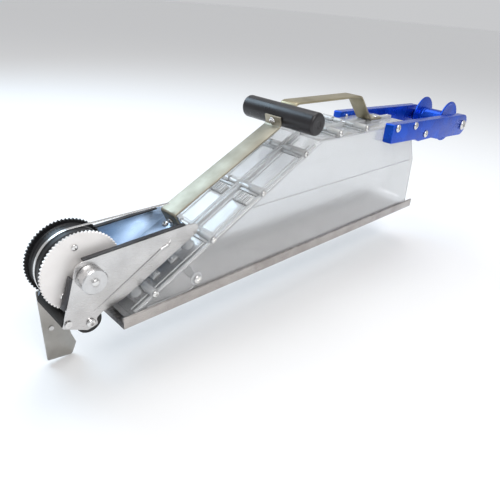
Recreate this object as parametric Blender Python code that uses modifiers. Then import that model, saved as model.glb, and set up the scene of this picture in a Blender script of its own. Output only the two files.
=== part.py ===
"""Semi-automatic drywall taping tool: a clear compound box on a slide-off steel tray, with a toothed
tape wheel in a folded steel head, a T-grip, a carrying handle and a yoke that holds the tape spool.

Metres, +Z up. +X runs from the tape wheel to the spool, and the near side is -Y. The origin is the
middle of the tray's flat underside. Places along X are measured back from the front of the tray.
"""
import math

import bmesh
import bpy
from mathutils import Matrix, Vector

# ---- driving dimensions ----
GAP = 0.0003                  # clearance between pieces that touch
RUN = 0.0006                  # clearance round a turning or sliding piece

TRAY_LENGTH = 0.678
TRAY_SHEET = 0.0015
TRAY_HEIGHT = 0.0165
TRAY_LIP = 0.0036             # how far the rolled lip reaches in over the box's foot
TRAY_LIP_HEIGHT = 0.0068
TRAY_LIP_PLAY = 0.0004        # between the lip's edge and the wall of the box
TRAY_NOTCH_X = 0.278          # front of the pressed notch in the near side
TRAY_NOTCH_WIDTH = 0.003
TRAY_NOTCH_Z = (0.0022, 0.0044)

BOX_WIDTH = 0.092
BOX_TOP = 0.182               # height of the box's flat top
BOX_WALL = 0.003
BOX_FRONT = 0.003             # front of the box's foot, back from the tray's front edge
NOSE_EDGE = 0.008             # front edge of the sloping face
SLOPE_ANGLE = math.radians(27.6)
SLOPE_START = -0.0088         # where the sloping face would meet the tray's underside
REAR_STEP = 0.016             # from the box's rear foot to the end of the tray, and the foot's height
REAR_RAKE = 0.012             # how far the lower rear wall leans in up to the crease
REAR_SLOPE = 0.043            # how far the upper rear wall leans in from the crease to the top
CREASE_Z = 0.107
CREASE_WIDTH = 0.0016
SEAM_GASKET = 0.0015
SEAM_RIB = 0.005              # width of each half's seam rib, and its height
SEAM_RIB_HEIGHT = 0.005
EDGE_RIB = 0.003
EDGE_RIB_WIDTH = 0.005
BARREL_RADIUS = 0.0055
BARREL_LENGTH = 0.026
SLEEVE_RADIUS = 0.0043
CLIPS = (0.064, 0.091)        # small clips on the sloping face, under the head
CLIP_LENGTH = 0.010
CLIP_HEIGHT = 0.002
CLIP_Y = (0.014, 0.023)
TAPE_SLOT_HEIGHT = 0.008
TAPE_SLOT_Z = 0.016
TAPE_SLOT_PLAY = 0.005        # slot's width over the tape's
SLOPE_SCREWS = (0.047, 0.137, 0.224, 0.306)
TOP_SCREWS = (0.2587, 0.6757)  # shares of the flat top in front of the yoke
SHELL_SCREW_RADIUS = 0.0025
SLOPE_SCREW_LIFT = 0.002      # screw's centre over the sloping face
TOP_SCREW_LIFT = 0.005        # and over the flat top

GATE_X = 0.110
GATE_Z = 0.029
GATE_PAD = (0.058, 0.098)     # front and rear ends of the gate's pad
GATE_DEPTH = 0.0020           # pad's face under the inside of the sloping face
GATE_THICKNESS = 0.005
GATE_SLEEVE = 0.004
GATE_SCREW = 0.0025
GATE_SCREW_REACH = 0.016
GATE_BOSS = 0.008
GATE_BOSS_HEIGHT = 0.0015
WIPER_Z = 0.0078              # lower edge of the nose wiper

HEAD_STANDOFF = 0.0195        # the web's height over the sloping face
HEAD_SHEET = 0.002
HEAD_REAR = 0.119
WEB_FRONT = 0.020
TAB_HEIGHT = 0.022
TAB_SCREW_HEIGHT = 0.0125
POST_RADIUS = 0.007
POST_Y = 0.018
POSTS = (0.036, 0.116)
WEB_SCREW_RADIUS = 0.0021
WEB_SCREW_LENGTH = 0.012
BEAD_RADIUS = 0.0016
BEAD = ((-0.027, 0.0305), (0.006, 0.0485), (0.040, 0.0685), (0.061, 0.0795), (0.072, 0.0835), (0.078, 0.0895))

IDLER_X = -0.0325
IDLER_Z = 0.017
IDLER_RADIUS = 0.0155
IDLER_WIDTH = 0.008
IDLER_BOLT = 0.003
CROSS_X = -0.0585
CROSS_Z = 0.0265
CROSS_RADIUS = 0.007
CROSS_SHAFT = 0.0025

WHEEL_X = -0.030
WHEEL_LIFT = 0.0125           # bottom of the discs over the idlers' bolt
DISC_RADIUS = 0.048
DISC_TEETH = 64
TOOTH_DEPTH = 0.0016
DISC_THICKNESS = 0.003
DISC_SPACING = 0.0422         # over the two discs' outer faces
DISC_OVERHANG = 0.0045        # discs' radius over the drum's
AXLE_RADIUS = 0.006
COLLAR_RADIUS = 0.013
COLLAR_LENGTH = 0.010
KNOB_RADIUS = 0.0149
KNOB_LENGTH = 0.015
KNOB_CAP = 0.0022
DISC_SCREW_CIRCLE = 0.033
DISC_SCREW_RADIUS = 0.002
DISC_SCREW_LENGTH = 0.012
DISC_SCREW_START = 102        # degrees, of the first of three
STRIPPER_SHEET = 0.0006
STRIPPER_WIDTH = 0.004
STRIPPER_START = 212          # degrees round the drum
STRIPPER_END = 0.007          # over the strap's foot screw

FIN_SHEET = 0.002
FIN_RIVETS = ((-0.048, 0.029), (-0.053, -0.022))
RIVET_RADIUS = 0.002
FIN_SHAFT_HOLE = 0.0052
FIN = ((-0.0645, 0.036, 0.003), (-0.0630, -0.0695, 0.002), (-0.0310, -0.0745, 0.004),
       (-0.0240, -0.0580, 0.003), (-0.0290, -0.0430, 0.003), (-0.0375, 0.0050, 0.003),
       (-0.0375, 0.036, 0.003))

STRAP_WIDTH = 0.030
STRAP_SHEET = 0.003
STRAP_FOOT = (0.0085, 0.0160)  # strap's foot below and above its screw
STRAP_SCREW_RADIUS = 0.0025
GRIP_BEHIND = 0.04333         # grip's axis in front of the top of the slope
GRIP_HEIGHT = 0.032           # and over the flat top
GRIP_RADIUS = 0.016
GRIP_LENGTH = 0.135
GRIP_EDGE = 0.003
GRIP_TILT = math.radians(20.0)
GRIP_BOLT = 0.003
HANDLE_RISE = 0.050           # handle's top over the flat top
HANDLE_LEAN = 0.042
HANDLE_FOOT_LENGTH = 0.035
HANDLE_SCREW_Y = 0.009
HANDLE_SCREW_RADIUS = 0.0025
HANDLE_SCREW_DEPTH = 0.006

YOKE_OVERLAP = 0.095          # how far the arms reach forward of the end of the flat top
YOKE_ARM = 0.0165             # thickness of each arm
YOKE_RISE = 0.009             # arms' top over the flat top
YOKE_HEIGHT = 0.0335
YOKE_PITCH = math.radians(2.0)
YOKE_BOLTS = ((0.015, 0.0075), (0.078, 0.0075), (0.125, 0.0255))
YOKE_BOLT_RADIUS = 0.003
SPACER_RADIUS = 0.006
SPACER_BORE = 0.011
SPOOL_BEHIND = 0.287          # spool's axis behind the front of the yoke
SPOOL_DROP = 0.021            # and under the flat top
SPOOL_RADIUS = 0.041
SPOOL_CORE = 0.020
SPOOL_HUB = 0.011
SPOOL_AXLE = 0.005
TAPE_WIDTH = 0.053
FLANGE_THICKNESS = 0.003
FLANGE_EDGE = 0.001

# Radius and height of each kind of screw head.
SHELL_HEAD = (0.0045, 0.0026)
GATE_HEAD = (0.0062, 0.0030)
WEB_HEAD = (0.0045, 0.0022)
DISC_HEAD = (0.0037, 0.0018)
IDLER_HEAD = (0.0055, 0.0030)
CROSS_HEAD = (0.0040, 0.0018)
RIVET_HEAD = (0.0036, 0.0011)
STRAP_HEAD = (0.0048, 0.0026)
GRIP_HEAD = (0.0052, 0.0030)
HANDLE_HEAD = (0.0045, 0.0024)
YOKE_HEAD = (0.0066, 0.0030)
SPOOL_HEAD = (0.0100, 0.0050)

# ---- values worked out from them ----
ORIGIN = TRAY_LENGTH / 2
SLOPE = math.tan(SLOPE_ANGLE)
ALONG = Vector((math.cos(SLOPE_ANGLE), 0.0, math.sin(SLOPE_ANGLE)))
NORMAL = Vector((-math.sin(SLOPE_ANGLE), 0.0, math.cos(SLOPE_ANGLE)))
HALF_BOX = BOX_WIDTH / 2
HALF_STRAP = STRAP_WIDTH / 2
HALF_SEAM = SEAM_GASKET / 2 + GAP
TRAY_WIDTH = BOX_WIDTH + 2 * (TRAY_LIP_PLAY + TRAY_LIP)
FOOT_OUTER = TRAY_WIDTH / 2 - TRAY_SHEET - GAP
FOOT_BASE = TRAY_SHEET + GAP
FOOT_TOP = TRAY_HEIGHT - TRAY_LIP_HEIGHT - GAP
REAR_FOOT = TRAY_LENGTH - REAR_STEP
REAR_BULGE = REAR_FOOT - REAR_RAKE
TOP_START = BOX_TOP / SLOPE + SLOPE_START
TOP_END = REAR_BULGE - REAR_SLOPE
TAPE_SLOT_WIDTH = TAPE_WIDTH + TAPE_SLOT_PLAY

WHEEL_Z = IDLER_Z + DISC_RADIUS + WHEEL_LIFT
HALF_DISCS = DISC_SPACING / 2
HALF_HEAD = HALF_DISCS + GAP + COLLAR_LENGTH + RUN + HEAD_SHEET
HEAD_WIDTH = 2 * HALF_HEAD
HEAD_TOP = WHEEL_Z + 0.020
HEAD_FRONT = WHEEL_X - 0.014
DRUM_RADIUS = DISC_RADIUS - DISC_OVERHANG

GRIP_X = TOP_START - GRIP_BEHIND
GRIP_Z = BOX_TOP + GRIP_HEIGHT
YOKE_FRONT = TOP_END - YOKE_OVERLAP
YOKE_TOP = BOX_TOP + YOKE_RISE
ARM_INNER = HALF_BOX + GAP
ARM_OUTER = ARM_INNER + YOKE_ARM
SPOOL_X = YOKE_FRONT + SPOOL_BEHIND
SPOOL_Z = BOX_TOP - SPOOL_DROP
HANDLE_TOP = BOX_TOP + HANDLE_RISE
HANDLE_FRONT = YOKE_FRONT + 0.003
HANDLE_REAR = HANDLE_FRONT + HANDLE_FOOT_LENGTH
SHELL_SCREWS = (*SLOPE_SCREWS, *(TOP_START + share * (YOKE_FRONT - TOP_START) for share in TOP_SCREWS))

for old in list(bpy.data.objects):
    bpy.data.objects.remove(old, do_unlink=True)
PARTS = bpy.data.collections.new("taping_tool")
CUTTERS = bpy.data.collections.new("cutters")
for made in (PARTS, CUTTERS):
    bpy.context.scene.collection.children.link(made)


def slope_z(x):
    """Height of the sloping face's outer surface, at x back from the tray's front."""
    return (x - SLOPE_START) * SLOPE


def on_slope(x, height):
    """Point (x, z) a given height off the sloping face, square to it, from the face at x."""
    return (x + NORMAL.x * height, slope_z(x) + NORMAL.z * height)


def material(name, colour, roughness, metallic, alpha=1.0):
    """Principled material for one sub-part."""
    made = bpy.data.materials.new(name)
    made.use_nodes = True
    shader = made.node_tree.nodes["Principled BSDF"]
    shader.inputs["Base Color"].default_value = (*colour, 1.0)
    shader.inputs["Roughness"].default_value = roughness
    shader.inputs["Metallic"].default_value = metallic
    shader.inputs["Alpha"].default_value = alpha
    return made


FINISHES = {
    "clear": ((0.80, 0.82, 0.84), 0.12, 0.0, 0.35),
    "stainless": ((0.62, 0.60, 0.58), 0.30, 1.0, 1.0),
    "strap": ((0.56, 0.53, 0.44), 0.38, 1.0, 1.0),
    "screw": ((0.70, 0.70, 0.70), 0.22, 1.0, 1.0),
    "aluminium": ((0.80, 0.78, 0.77), 0.35, 1.0, 1.0),
    "black_disc": ((0.03, 0.03, 0.035), 0.40, 0.6, 1.0),
    "drum": ((0.02, 0.02, 0.022), 0.45, 0.0, 1.0),
    "rubber": ((0.02, 0.02, 0.02), 0.75, 0.0, 1.0),
    "grip": ((0.025, 0.024, 0.026), 0.55, 0.0, 1.0),
    "blue": ((0.02, 0.06, 0.50), 0.28, 0.9, 1.0),
}


def finish(obj, kind):
    """Give the object a material of its own in one of the finishes."""
    colour, roughness, metallic, alpha = FINISHES[kind]
    obj.data.materials.clear()
    obj.data.materials.append(material(obj.name, colour, roughness, metallic, alpha))
    return obj


def add_mesh(name, mesh, matrix):
    """New object in the parts collection, shaded smooth with sharp edges kept."""
    mesh.shade_smooth()
    mesh.set_sharp_from_angle(angle=math.radians(35))
    obj = bpy.data.objects.new(name, mesh)
    obj.matrix_world = matrix
    PARTS.objects.link(obj)
    return obj


def extruded(name, outline, depth, matrix):
    """Closed flat outline, filled and given a thickness, as a welded mesh."""
    curve = bpy.data.curves.new(name, "CURVE")
    curve.dimensions = "2D"
    curve.fill_mode = "BOTH"
    curve.extrude = depth / 2
    spline = curve.splines.new("POLY")
    spline.points.add(len(outline) - 1)
    for point, (u, v) in zip(spline.points, outline):
        point.co = (u, v, 0.0, 1.0)
    spline.use_cyclic_u = True
    return welded(name, curve, matrix)


def welded(name, curve, matrix):
    """Mesh object made from a curve, with its caps welded on."""
    source = bpy.data.objects.new(name + "_outline", curve)
    PARTS.objects.link(source)
    source.matrix_world = matrix
    bpy.context.view_layer.update()
    evaluated = source.evaluated_get(bpy.context.evaluated_depsgraph_get())
    mesh = bpy.data.meshes.new_from_object(evaluated)
    mesh.name = name
    bpy.data.objects.remove(source, do_unlink=True)
    work = bmesh.new()
    work.from_mesh(mesh)
    bmesh.ops.remove_doubles(work, verts=work.verts, dist=0.00001)
    bmesh.ops.recalc_face_normals(work, faces=work.faces)
    work.to_mesh(mesh)
    work.free()
    return add_mesh(name, mesh, matrix)


def side_plate(name, outline, y_from, y_to, pivot=(0.0, 0.0)):
    """Outline in (x, z) back from the tray's front, extruded across the tool, about a pivot."""
    local = [(x - pivot[0], z - pivot[1]) for x, z in outline]
    place = Matrix.Translation((pivot[0] - ORIGIN, (y_from + y_to) / 2, pivot[1]))
    return extruded(name, local, abs(y_to - y_from), place @ Matrix.Rotation(math.pi / 2, 4, "X"))


def rail(name, section, x_from, x_to):
    """Section in (y, z), extruded along the tool."""
    turn = Matrix(((0, 0, 1, 0), (1, 0, 0, 0), (0, 1, 0, 0), (0, 0, 0, 1)))
    place = Matrix.Translation(((x_from + x_to) / 2 - ORIGIN, 0.0, 0.0))
    return extruded(name, section, x_to - x_from, place @ turn)


def block(name, low, high):
    """Box between two corners, given back from the tray's front."""
    size = Vector(high) - Vector(low)
    centre = (Vector(low) + Vector(high)) / 2 - Vector((ORIGIN, 0.0, 0.0))
    mesh = bpy.data.meshes.new(name)
    work = bmesh.new()
    bmesh.ops.create_cube(work, size=1.0, matrix=Matrix.Diagonal((*size, 1.0)))
    work.to_mesh(mesh)
    work.free()
    return add_mesh(name, mesh, Matrix.Translation(centre))


def facing(point, axis):
    """Placement with local Z along an axis, at a point back from the tray's front."""
    turn = Vector(axis).to_track_quat("Z", "Y").to_matrix().to_4x4()
    return Matrix.Translation(Vector(point) - Vector((ORIGIN, 0.0, 0.0))) @ turn


def rod(name, start, end, radius, sides=24):
    """Cylinder between two points."""
    start, end = Vector(start), Vector(end)
    mesh = bpy.data.meshes.new(name)
    work = bmesh.new()
    bmesh.ops.create_cone(work, cap_ends=True, segments=sides, radius1=radius, radius2=radius,
                          depth=(end - start).length)
    work.to_mesh(mesh)
    work.free()
    return add_mesh(name, mesh, facing((start + end) / 2, end - start))


def cross_rod(name, x, z, y_from, y_to, radius, sides=12):
    """Cylinder across the tool, at (x, z), between two values of y."""
    return rod(name, (x, y_from, z), (x, y_to, z), radius, sides)


def wire(name, points, radius):
    """Round wire through points back from the tray's front, with filled ends."""
    curve = bpy.data.curves.new(name, "CURVE")
    curve.dimensions = "3D"
    curve.bevel_depth = radius
    curve.bevel_resolution = 2
    curve.use_fill_caps = True
    spline = curve.splines.new("POLY")
    spline.points.add(len(points) - 1)
    for point, (x, y, z) in zip(spline.points, points):
        point.co = (x - ORIGIN, y, z, 1.0)
    return welded(name, curve, Matrix.Identity(4))


def turned(name, profile, point, axis, sides=32, ring=False):
    """Profile of (radius, height) points, top to bottom on its outer side, spun about an axis."""
    mesh = bpy.data.meshes.new(name)
    count = len(profile)
    links = [(i, i + 1) for i in range(count - 1)]
    if ring:
        links.append((count - 1, 0))
    mesh.from_pydata([(r, 0.0, z) for r, z in profile], links, [])
    obj = bpy.data.objects.new(name, mesh)
    obj.matrix_world = facing(point, axis)
    PARTS.objects.link(obj)
    screw = obj.modifiers.new("spin", "SCREW")
    screw.axis = "Z"
    screw.angle = math.tau
    screw.steps = sides
    screw.render_steps = sides
    screw.use_merge_vertices = True
    screw.merge_threshold = 0.00002
    screw.use_smooth_shade = True
    return obj


def hide_tool(tool):
    """Move an object that only cuts or joins to the cutters' collection."""
    PARTS.objects.unlink(tool)
    CUTTERS.objects.link(tool)
    tool.hide_render = True
    tool.display_type = "WIRE"


def combine(target, operation, tools):
    """Boolean the target with each tool in turn."""
    for tool in tools:
        modifier = target.modifiers.new(operation.lower(), "BOOLEAN")
        modifier.operation = operation
        modifier.solver = "EXACT"
        modifier.object = tool
        hide_tool(tool)
    return target


def join(target, *tools):
    """Unite the target with solids that overlap it."""
    return combine(target, "UNION", tools)


def cut(target, *tools):
    """Cut solids out of the target."""
    return combine(target, "DIFFERENCE", tools)


def filleted(points, steps=4):
    """Outline from (x, z, radius) corners, each rounded by its radius."""
    outline = []
    count = len(points)
    for i, (x, z, radius) in enumerate(points):
        here = Vector((x, z))
        if radius <= 0.0:
            outline.append((x, z))
            continue
        before = Vector(points[i - 1][:2]) - here
        after = Vector(points[(i + 1) % count][:2]) - here
        half = before.angle(after) / 2
        reach = min(radius / math.tan(half), 0.48 * before.length, 0.48 * after.length)
        radius = reach * math.tan(half)
        before.normalize()
        after.normalize()
        centre = here + (before + after).normalized() * (radius / math.sin(half))
        first = here + before * reach - centre
        last = here + after * reach - centre
        sweep = math.atan2(first.x * last.y - first.y * last.x, first.dot(last))
        for step in range(steps + 1):
            turn = Matrix.Rotation(sweep * step / steps, 2)
            outline.append(tuple(centre + turn @ first))
    return outline


def inset(points, distance):
    """Outline moved in by a distance, for an outline that runs anticlockwise."""
    moved = []
    count = len(points)
    for i in range(count):
        a, b, c = (Vector(points[j % count]) for j in (i - 1, i, i + 1))
        d1, d2 = (b - a).normalized(), (c - b).normalized()
        n1, n2 = Vector((-d1.y, d1.x)), Vector((-d2.y, d2.x))
        middle = (n1 + n2).normalized()
        moved.append(tuple(b + middle * (distance / middle.dot(n1))))
    return moved


def circle(x, z, radius, start, end, steps):
    """Points on an arc in (x, z), from one angle to another in degrees."""
    angles = [math.radians(start + (end - start) * i / steps) for i in range(steps + 1)]
    return [(x + radius * math.cos(a), z + radius * math.sin(a)) for a in angles]


def thick_line(points, sheet):
    """Closed outline of a bent strip whose outer face follows the points, on their left side."""
    count = len(points)
    inner = []
    for i, point in enumerate(points):
        here = Vector(point)
        before = (here - Vector(points[i - 1])).normalized() if i else None
        after = (Vector(points[i + 1]) - here).normalized() if i < count - 1 else None
        sides = [Vector((d.y, -d.x)) for d in (before, after) if d is not None]
        middle = sum(sides, Vector((0.0, 0.0))).normalized()
        inner.append(tuple(here + middle * (sheet / middle.dot(sides[0]))))
    return list(points) + inner[::-1]


def bolt(name, point, outward, shank, length, head, nut=0.0, sides=12):
    """Round-headed screw whose head's underside is at the point, with an optional nut at its end."""
    radius, height = head
    profile = [(0.0, height), (radius * 0.62, height * 0.9), (radius, height * 0.3), (radius, 0.0),
               (shank, 0.0)]
    if nut:
        profile += [(shank, -length), (nut, -length), (nut, -length - height), (0.0, -length - height)]
    else:
        profile += [(shank, -length), (0.0, -length)]
    return turned(name, profile, point, outward, sides)


# ---- the clear box: two halves bolted together along a seam ----
def box_outline():
    """Side view of the box, anticlockwise from its front foot."""
    return [(BOX_FRONT, FOOT_BASE), (REAR_FOOT, FOOT_BASE), (REAR_FOOT, REAR_STEP),
            (REAR_BULGE, CREASE_Z), (TOP_END, BOX_TOP), (TOP_START, BOX_TOP),
            (BOX_FRONT, slope_z(BOX_FRONT))]


SIDES = {"near": -1, "far": 1}


def across(side, inner, outer):
    """Y range on one side of the tool, near (-1) or far (+1)."""
    return (side * inner, side * outer) if side > 0 else (side * outer, side * inner)


def screw_line(x):
    """Centre (x, z) of the cross screw nearest x: on the sloping face, or just over the flat top."""
    if x < TOP_START:
        return on_slope(x, SLOPE_SCREW_LIFT)
    return (x, BOX_TOP + TOP_SCREW_LIFT)


def seam_line(height):
    """Line over the seam at a height off the sloping face and the flat top."""
    return [on_slope(NOSE_EDGE + 0.006, height), on_slope(TOP_START - 0.001, height),
            (TOP_START + 0.004, BOX_TOP + height), (TOP_END - 0.004, BOX_TOP + height)]


def box_half(name, side):
    """One moulded half: wall, sloping face, top, rear, foot, ribs, barrels and posts."""
    outline = box_outline()
    hollow = inset(outline, BOX_WALL)
    hollow[0] = (hollow[0][0], -0.01)
    hollow[1] = (hollow[1][0], -0.01)
    half = side_plate(name, outline, *across(side, HALF_SEAM, HALF_BOX))
    cut(half, side_plate(name + "_hollow", hollow, *across(side, -0.004, HALF_BOX - BOX_WALL)))
    foot_y = sorted((side * (HALF_BOX - BOX_WALL + GAP), side * FOOT_OUTER))
    join(half, block(name + "_foot", (BOX_FRONT + GAP, foot_y[0], FOOT_BASE + 0.0001),
                     (REAR_FOOT - GAP, foot_y[1], FOOT_TOP)))
    seam = thick_line(seam_line(SEAM_RIB_HEIGHT), SEAM_RIB_HEIGHT + 0.0012)
    join(half, side_plate(name + "_seam_rib", seam, *across(side, HALF_SEAM, SEAM_RIB)))
    edge = thick_line([on_slope(NOSE_EDGE + 0.010, EDGE_RIB / 2), on_slope(TOP_START - 0.012, EDGE_RIB / 2)],
                      EDGE_RIB)
    join(half, side_plate(name + "_edge_rib", edge,
                          *across(side, HALF_BOX - EDGE_RIB_WIDTH, HALF_BOX - 2 * GAP)))
    crease_y = sorted((side * (HALF_BOX - 0.001), side * (HALF_BOX + 0.0001)))
    start = CREASE_Z / SLOPE + SLOPE_START + 0.004
    crease = block(name + "_crease", (start, crease_y[0], CREASE_Z - 0.001),
                   (REAR_BULGE - 0.018, crease_y[1], CREASE_Z - 0.001 + CREASE_WIDTH))
    join(half, crease)
    return half


def box_details(half, side):
    """Barrels for the cross screws, posts for the head, pads, the gate's boss and the openings."""
    name = half.name
    for index, x in enumerate(SHELL_SCREWS):
        cx, cz = screw_line(x)
        outer, middle = side * (HALF_BOX - GAP), side * (HALF_BOX - BARREL_LENGTH)
        inner = side * (SEAM_RIB - 0.001)
        join(half, cross_rod(f"{name}_barrel_{index}", cx, cz, outer, middle, BARREL_RADIUS))
        join(half, cross_rod(f"{name}_sleeve_{index}", cx, cz, middle + side * 0.001, inner, SLEEVE_RADIUS))
    for index, x in enumerate(POSTS):
        base = on_slope(x, -0.001)
        top = on_slope(x, HEAD_STANDOFF - GAP)
        join(half, rod(f"{name}_post_{index}", (base[0], side * POST_Y, base[1]),
                       (top[0], side * POST_Y, top[1]), POST_RADIUS, 14))
    pad_y = sorted((side * (SEAM_RIB - 0.001), side * HALF_STRAP))
    join(half, block(name + "_handle_pad", (HANDLE_FRONT + 0.002, pad_y[0], BOX_TOP - 0.001),
                     (HANDLE_REAR, pad_y[1], BOX_TOP + SEAM_RIB_HEIGHT - 0.0002)))
    join(half, cross_rod(name + "_gate_boss", GATE_X, GATE_Z, side * (HALF_BOX - 0.001),
                         side * (HALF_BOX + GATE_BOSS_HEIGHT), GATE_BOSS, 24))
    for index, x in enumerate(CLIPS):
        ends = [on_slope(x - CLIP_LENGTH / 2, CLIP_HEIGHT), on_slope(x + CLIP_LENGTH / 2, CLIP_HEIGHT)]
        clip = thick_line(ends, CLIP_HEIGHT + 0.001)
        join(half, side_plate(f"{name}_clip_{index}", clip, *across(side, *CLIP_Y)))
    return half


def box_openings(half, side):
    """Nose and tape slots, and the holes for screws, all of them through."""
    name = half.name
    width = HALF_BOX - BOX_WALL
    y_low, y_high = sorted((side * -0.004, side * width))
    nose = block(name + "_nose", (-0.01, y_low, -0.01), (NOSE_EDGE, y_high, 0.02))
    slot_low, slot_high = sorted((side * -0.004, side * TAPE_SLOT_WIDTH / 2))
    slot = block(name + "_tape_slot", (REAR_BULGE - 0.02, slot_low, TAPE_SLOT_Z),
                 (REAR_FOOT + 0.01, slot_high, TAPE_SLOT_Z + TAPE_SLOT_HEIGHT))
    holes = [nose, slot]
    for index, x in enumerate(SHELL_SCREWS):
        holes.append(cross_rod(f"{name}_bore_{index}", *screw_line(x), -0.002 * side,
                               side * (HALF_BOX + 0.01), SHELL_SCREW_RADIUS + GAP))
    for index, x in enumerate(POSTS):
        base, top = on_slope(x, HEAD_STANDOFF - 0.012), on_slope(x, HEAD_STANDOFF + 0.01)
        holes.append(rod(f"{name}_post_bore_{index}", (base[0], side * POST_Y, base[1]),
                         (top[0], side * POST_Y, top[1]), WEB_SCREW_RADIUS + GAP, 12))
    holes.append(cross_rod(name + "_gate_bore", GATE_X, GATE_Z, side * (HALF_BOX - 0.01),
                           side * (HALF_BOX + 0.01), GATE_SCREW + GAP))
    return cut(half, *holes)


for side_label, half_side in SIDES.items():
    made_half = box_half("box_half_" + side_label, half_side)
    box_details(made_half, half_side)
    box_openings(made_half, half_side)
    finish(made_half, "clear")


# ---- seam gasket and cross screws ----
def seam_gasket():
    """Flat rubber cord in the seam, following the sloping face and the flat top."""
    strip = thick_line(seam_line(SEAM_RIB_HEIGHT - 0.001), SEAM_RIB_HEIGHT + BOX_WALL - 0.0015)
    gasket = side_plate("seam_gasket", strip, -SEAM_GASKET / 2, SEAM_GASKET / 2)
    bores = [cross_rod(f"gasket_bore_{index}", *screw_line(x), -0.003, 0.003, SHELL_SCREW_RADIUS + GAP)
             for index, x in enumerate(SHELL_SCREWS)]
    finish(cut(gasket, *bores), "rubber")


def shell_screws():
    """Cross screws, each with its sleeve nut's head on the far side."""
    for index, x in enumerate(SHELL_SCREWS):
        cx, cz = screw_line(x)
        screw = bolt(f"shell_screw_{index + 1}", (cx, -HALF_BOX - GAP, cz), (0, -1, 0), SHELL_SCREW_RADIUS,
                     BOX_WIDTH + 3 * GAP, SHELL_HEAD, nut=SHELL_HEAD[0], sides=10)
        finish(screw, "screw")


# ---- slide-off tray ----
def tray():
    """Folded steel channel whose rolled lips hook over the feet of the box."""
    half = TRAY_WIDTH / 2
    lip = half - TRAY_LIP
    low = TRAY_HEIGHT - TRAY_LIP_HEIGHT
    right = [(half, 0.0, 0.0008), (half, TRAY_HEIGHT, 0.0016), (lip, TRAY_HEIGHT, 0.0012),
             (lip, low, 0.0004), (half - TRAY_SHEET, low, 0.0), (half - TRAY_SHEET, TRAY_SHEET, 0.0)]
    left = [(-y, z, r) for y, z, r in reversed(right)]
    channel = rail("base_tray", filleted(right + left, 3), 0.0, TRAY_LENGTH)
    notch = block("tray_notch", (TRAY_NOTCH_X, -half - 0.001, TRAY_NOTCH_Z[0]),
                  (TRAY_NOTCH_X + TRAY_NOTCH_WIDTH, -half + TRAY_SHEET + 0.0005, TRAY_NOTCH_Z[1]))
    finish(cut(channel, notch), "stainless")


# ---- flow gate ----
def flow_gate():
    """Hinged flap behind the nose: a pad under the sloping face, on a sleeve across the box."""
    front, rear = GATE_PAD
    under = -BOX_WALL - GATE_DEPTH
    outline = [on_slope(front, under), on_slope(front, under - GATE_THICKNESS),
               on_slope(rear - 0.010, under - GATE_THICKNESS), (GATE_X - 0.003, GATE_Z - 0.001),
               (GATE_X + 0.003, GATE_Z + 0.001), on_slope(rear, under)]
    pivot = (GATE_X, GATE_Z)
    width = HALF_BOX - BOX_WALL - RUN
    gate = side_plate("flow_gate", outline, -width + 0.003, width - 0.003, pivot)
    join(gate, cross_rod("gate_sleeve", GATE_X, GATE_Z, -width, width, GATE_SLEEVE, 20))
    bore_end = width - GATE_SCREW_REACH
    face = HALF_BOX + GATE_BOSS_HEIGHT
    for label, side in SIDES.items():
        cut(gate, cross_rod("gate_end_bore_" + label, GATE_X, GATE_Z, side * bore_end, side * (width + 0.001),
                            GATE_SCREW + GAP, 16))
        screw = bolt("gate_screw_" + label, (GATE_X, side * (face + GAP), GATE_Z), (0, side, 0), GATE_SCREW,
                     face - bore_end - 0.001, GATE_HEAD)
        finish(screw, "screw")
    finish(gate, "rubber")


def nose_wiper():
    """Rubber strip under the front edge of the sloping face, over the way out."""
    width = HALF_BOX - BOX_WALL - GAP
    outline = [on_slope(NOSE_EDGE + 0.007, -BOX_WALL - GAP), (NOSE_EDGE + 0.0075, WIPER_Z),
               (NOSE_EDGE + 0.0095, WIPER_Z), on_slope(NOSE_EDGE + 0.018, -BOX_WALL - GAP)]
    finish(side_plate("nose_wiper", outline, -width, width), "rubber")


# ---- head: folded steel bracket that carries the wheel ----
def web_line(x, lift=0.0):
    """Point on the underside of the bracket's web, over x on the sloping face."""
    return (x, slope_z(x) + (HEAD_STANDOFF + lift) / math.cos(SLOPE_ANGLE))


def cheek_outline():
    """Side plate of the head, anticlockwise from its lower front corner."""
    return filleted([(CROSS_X - 0.0065, CROSS_Z - 0.0040, 0.002), (IDLER_X - 0.0045, IDLER_Z - 0.0085, 0.004),
                     (IDLER_X + 0.0085, IDLER_Z - 0.0055, 0.003), (IDLER_X + 0.0075, IDLER_Z + 0.0035, 0.004),
                     (IDLER_X + 0.0155, IDLER_Z + 0.0085, 0.004), (*web_line(WEB_FRONT - 0.008), 0.010),
                     (*web_line(HEAD_REAR), 0.004), (HEAD_REAR + 0.0015, HEAD_TOP + 0.004, 0.007),
                     (HEAD_REAR - 0.015, HEAD_TOP + 0.006, 0.004), (HEAD_FRONT + 0.008, HEAD_TOP, 0.004),
                     (HEAD_FRONT, HEAD_TOP - 0.005, 0.004)])


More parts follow.
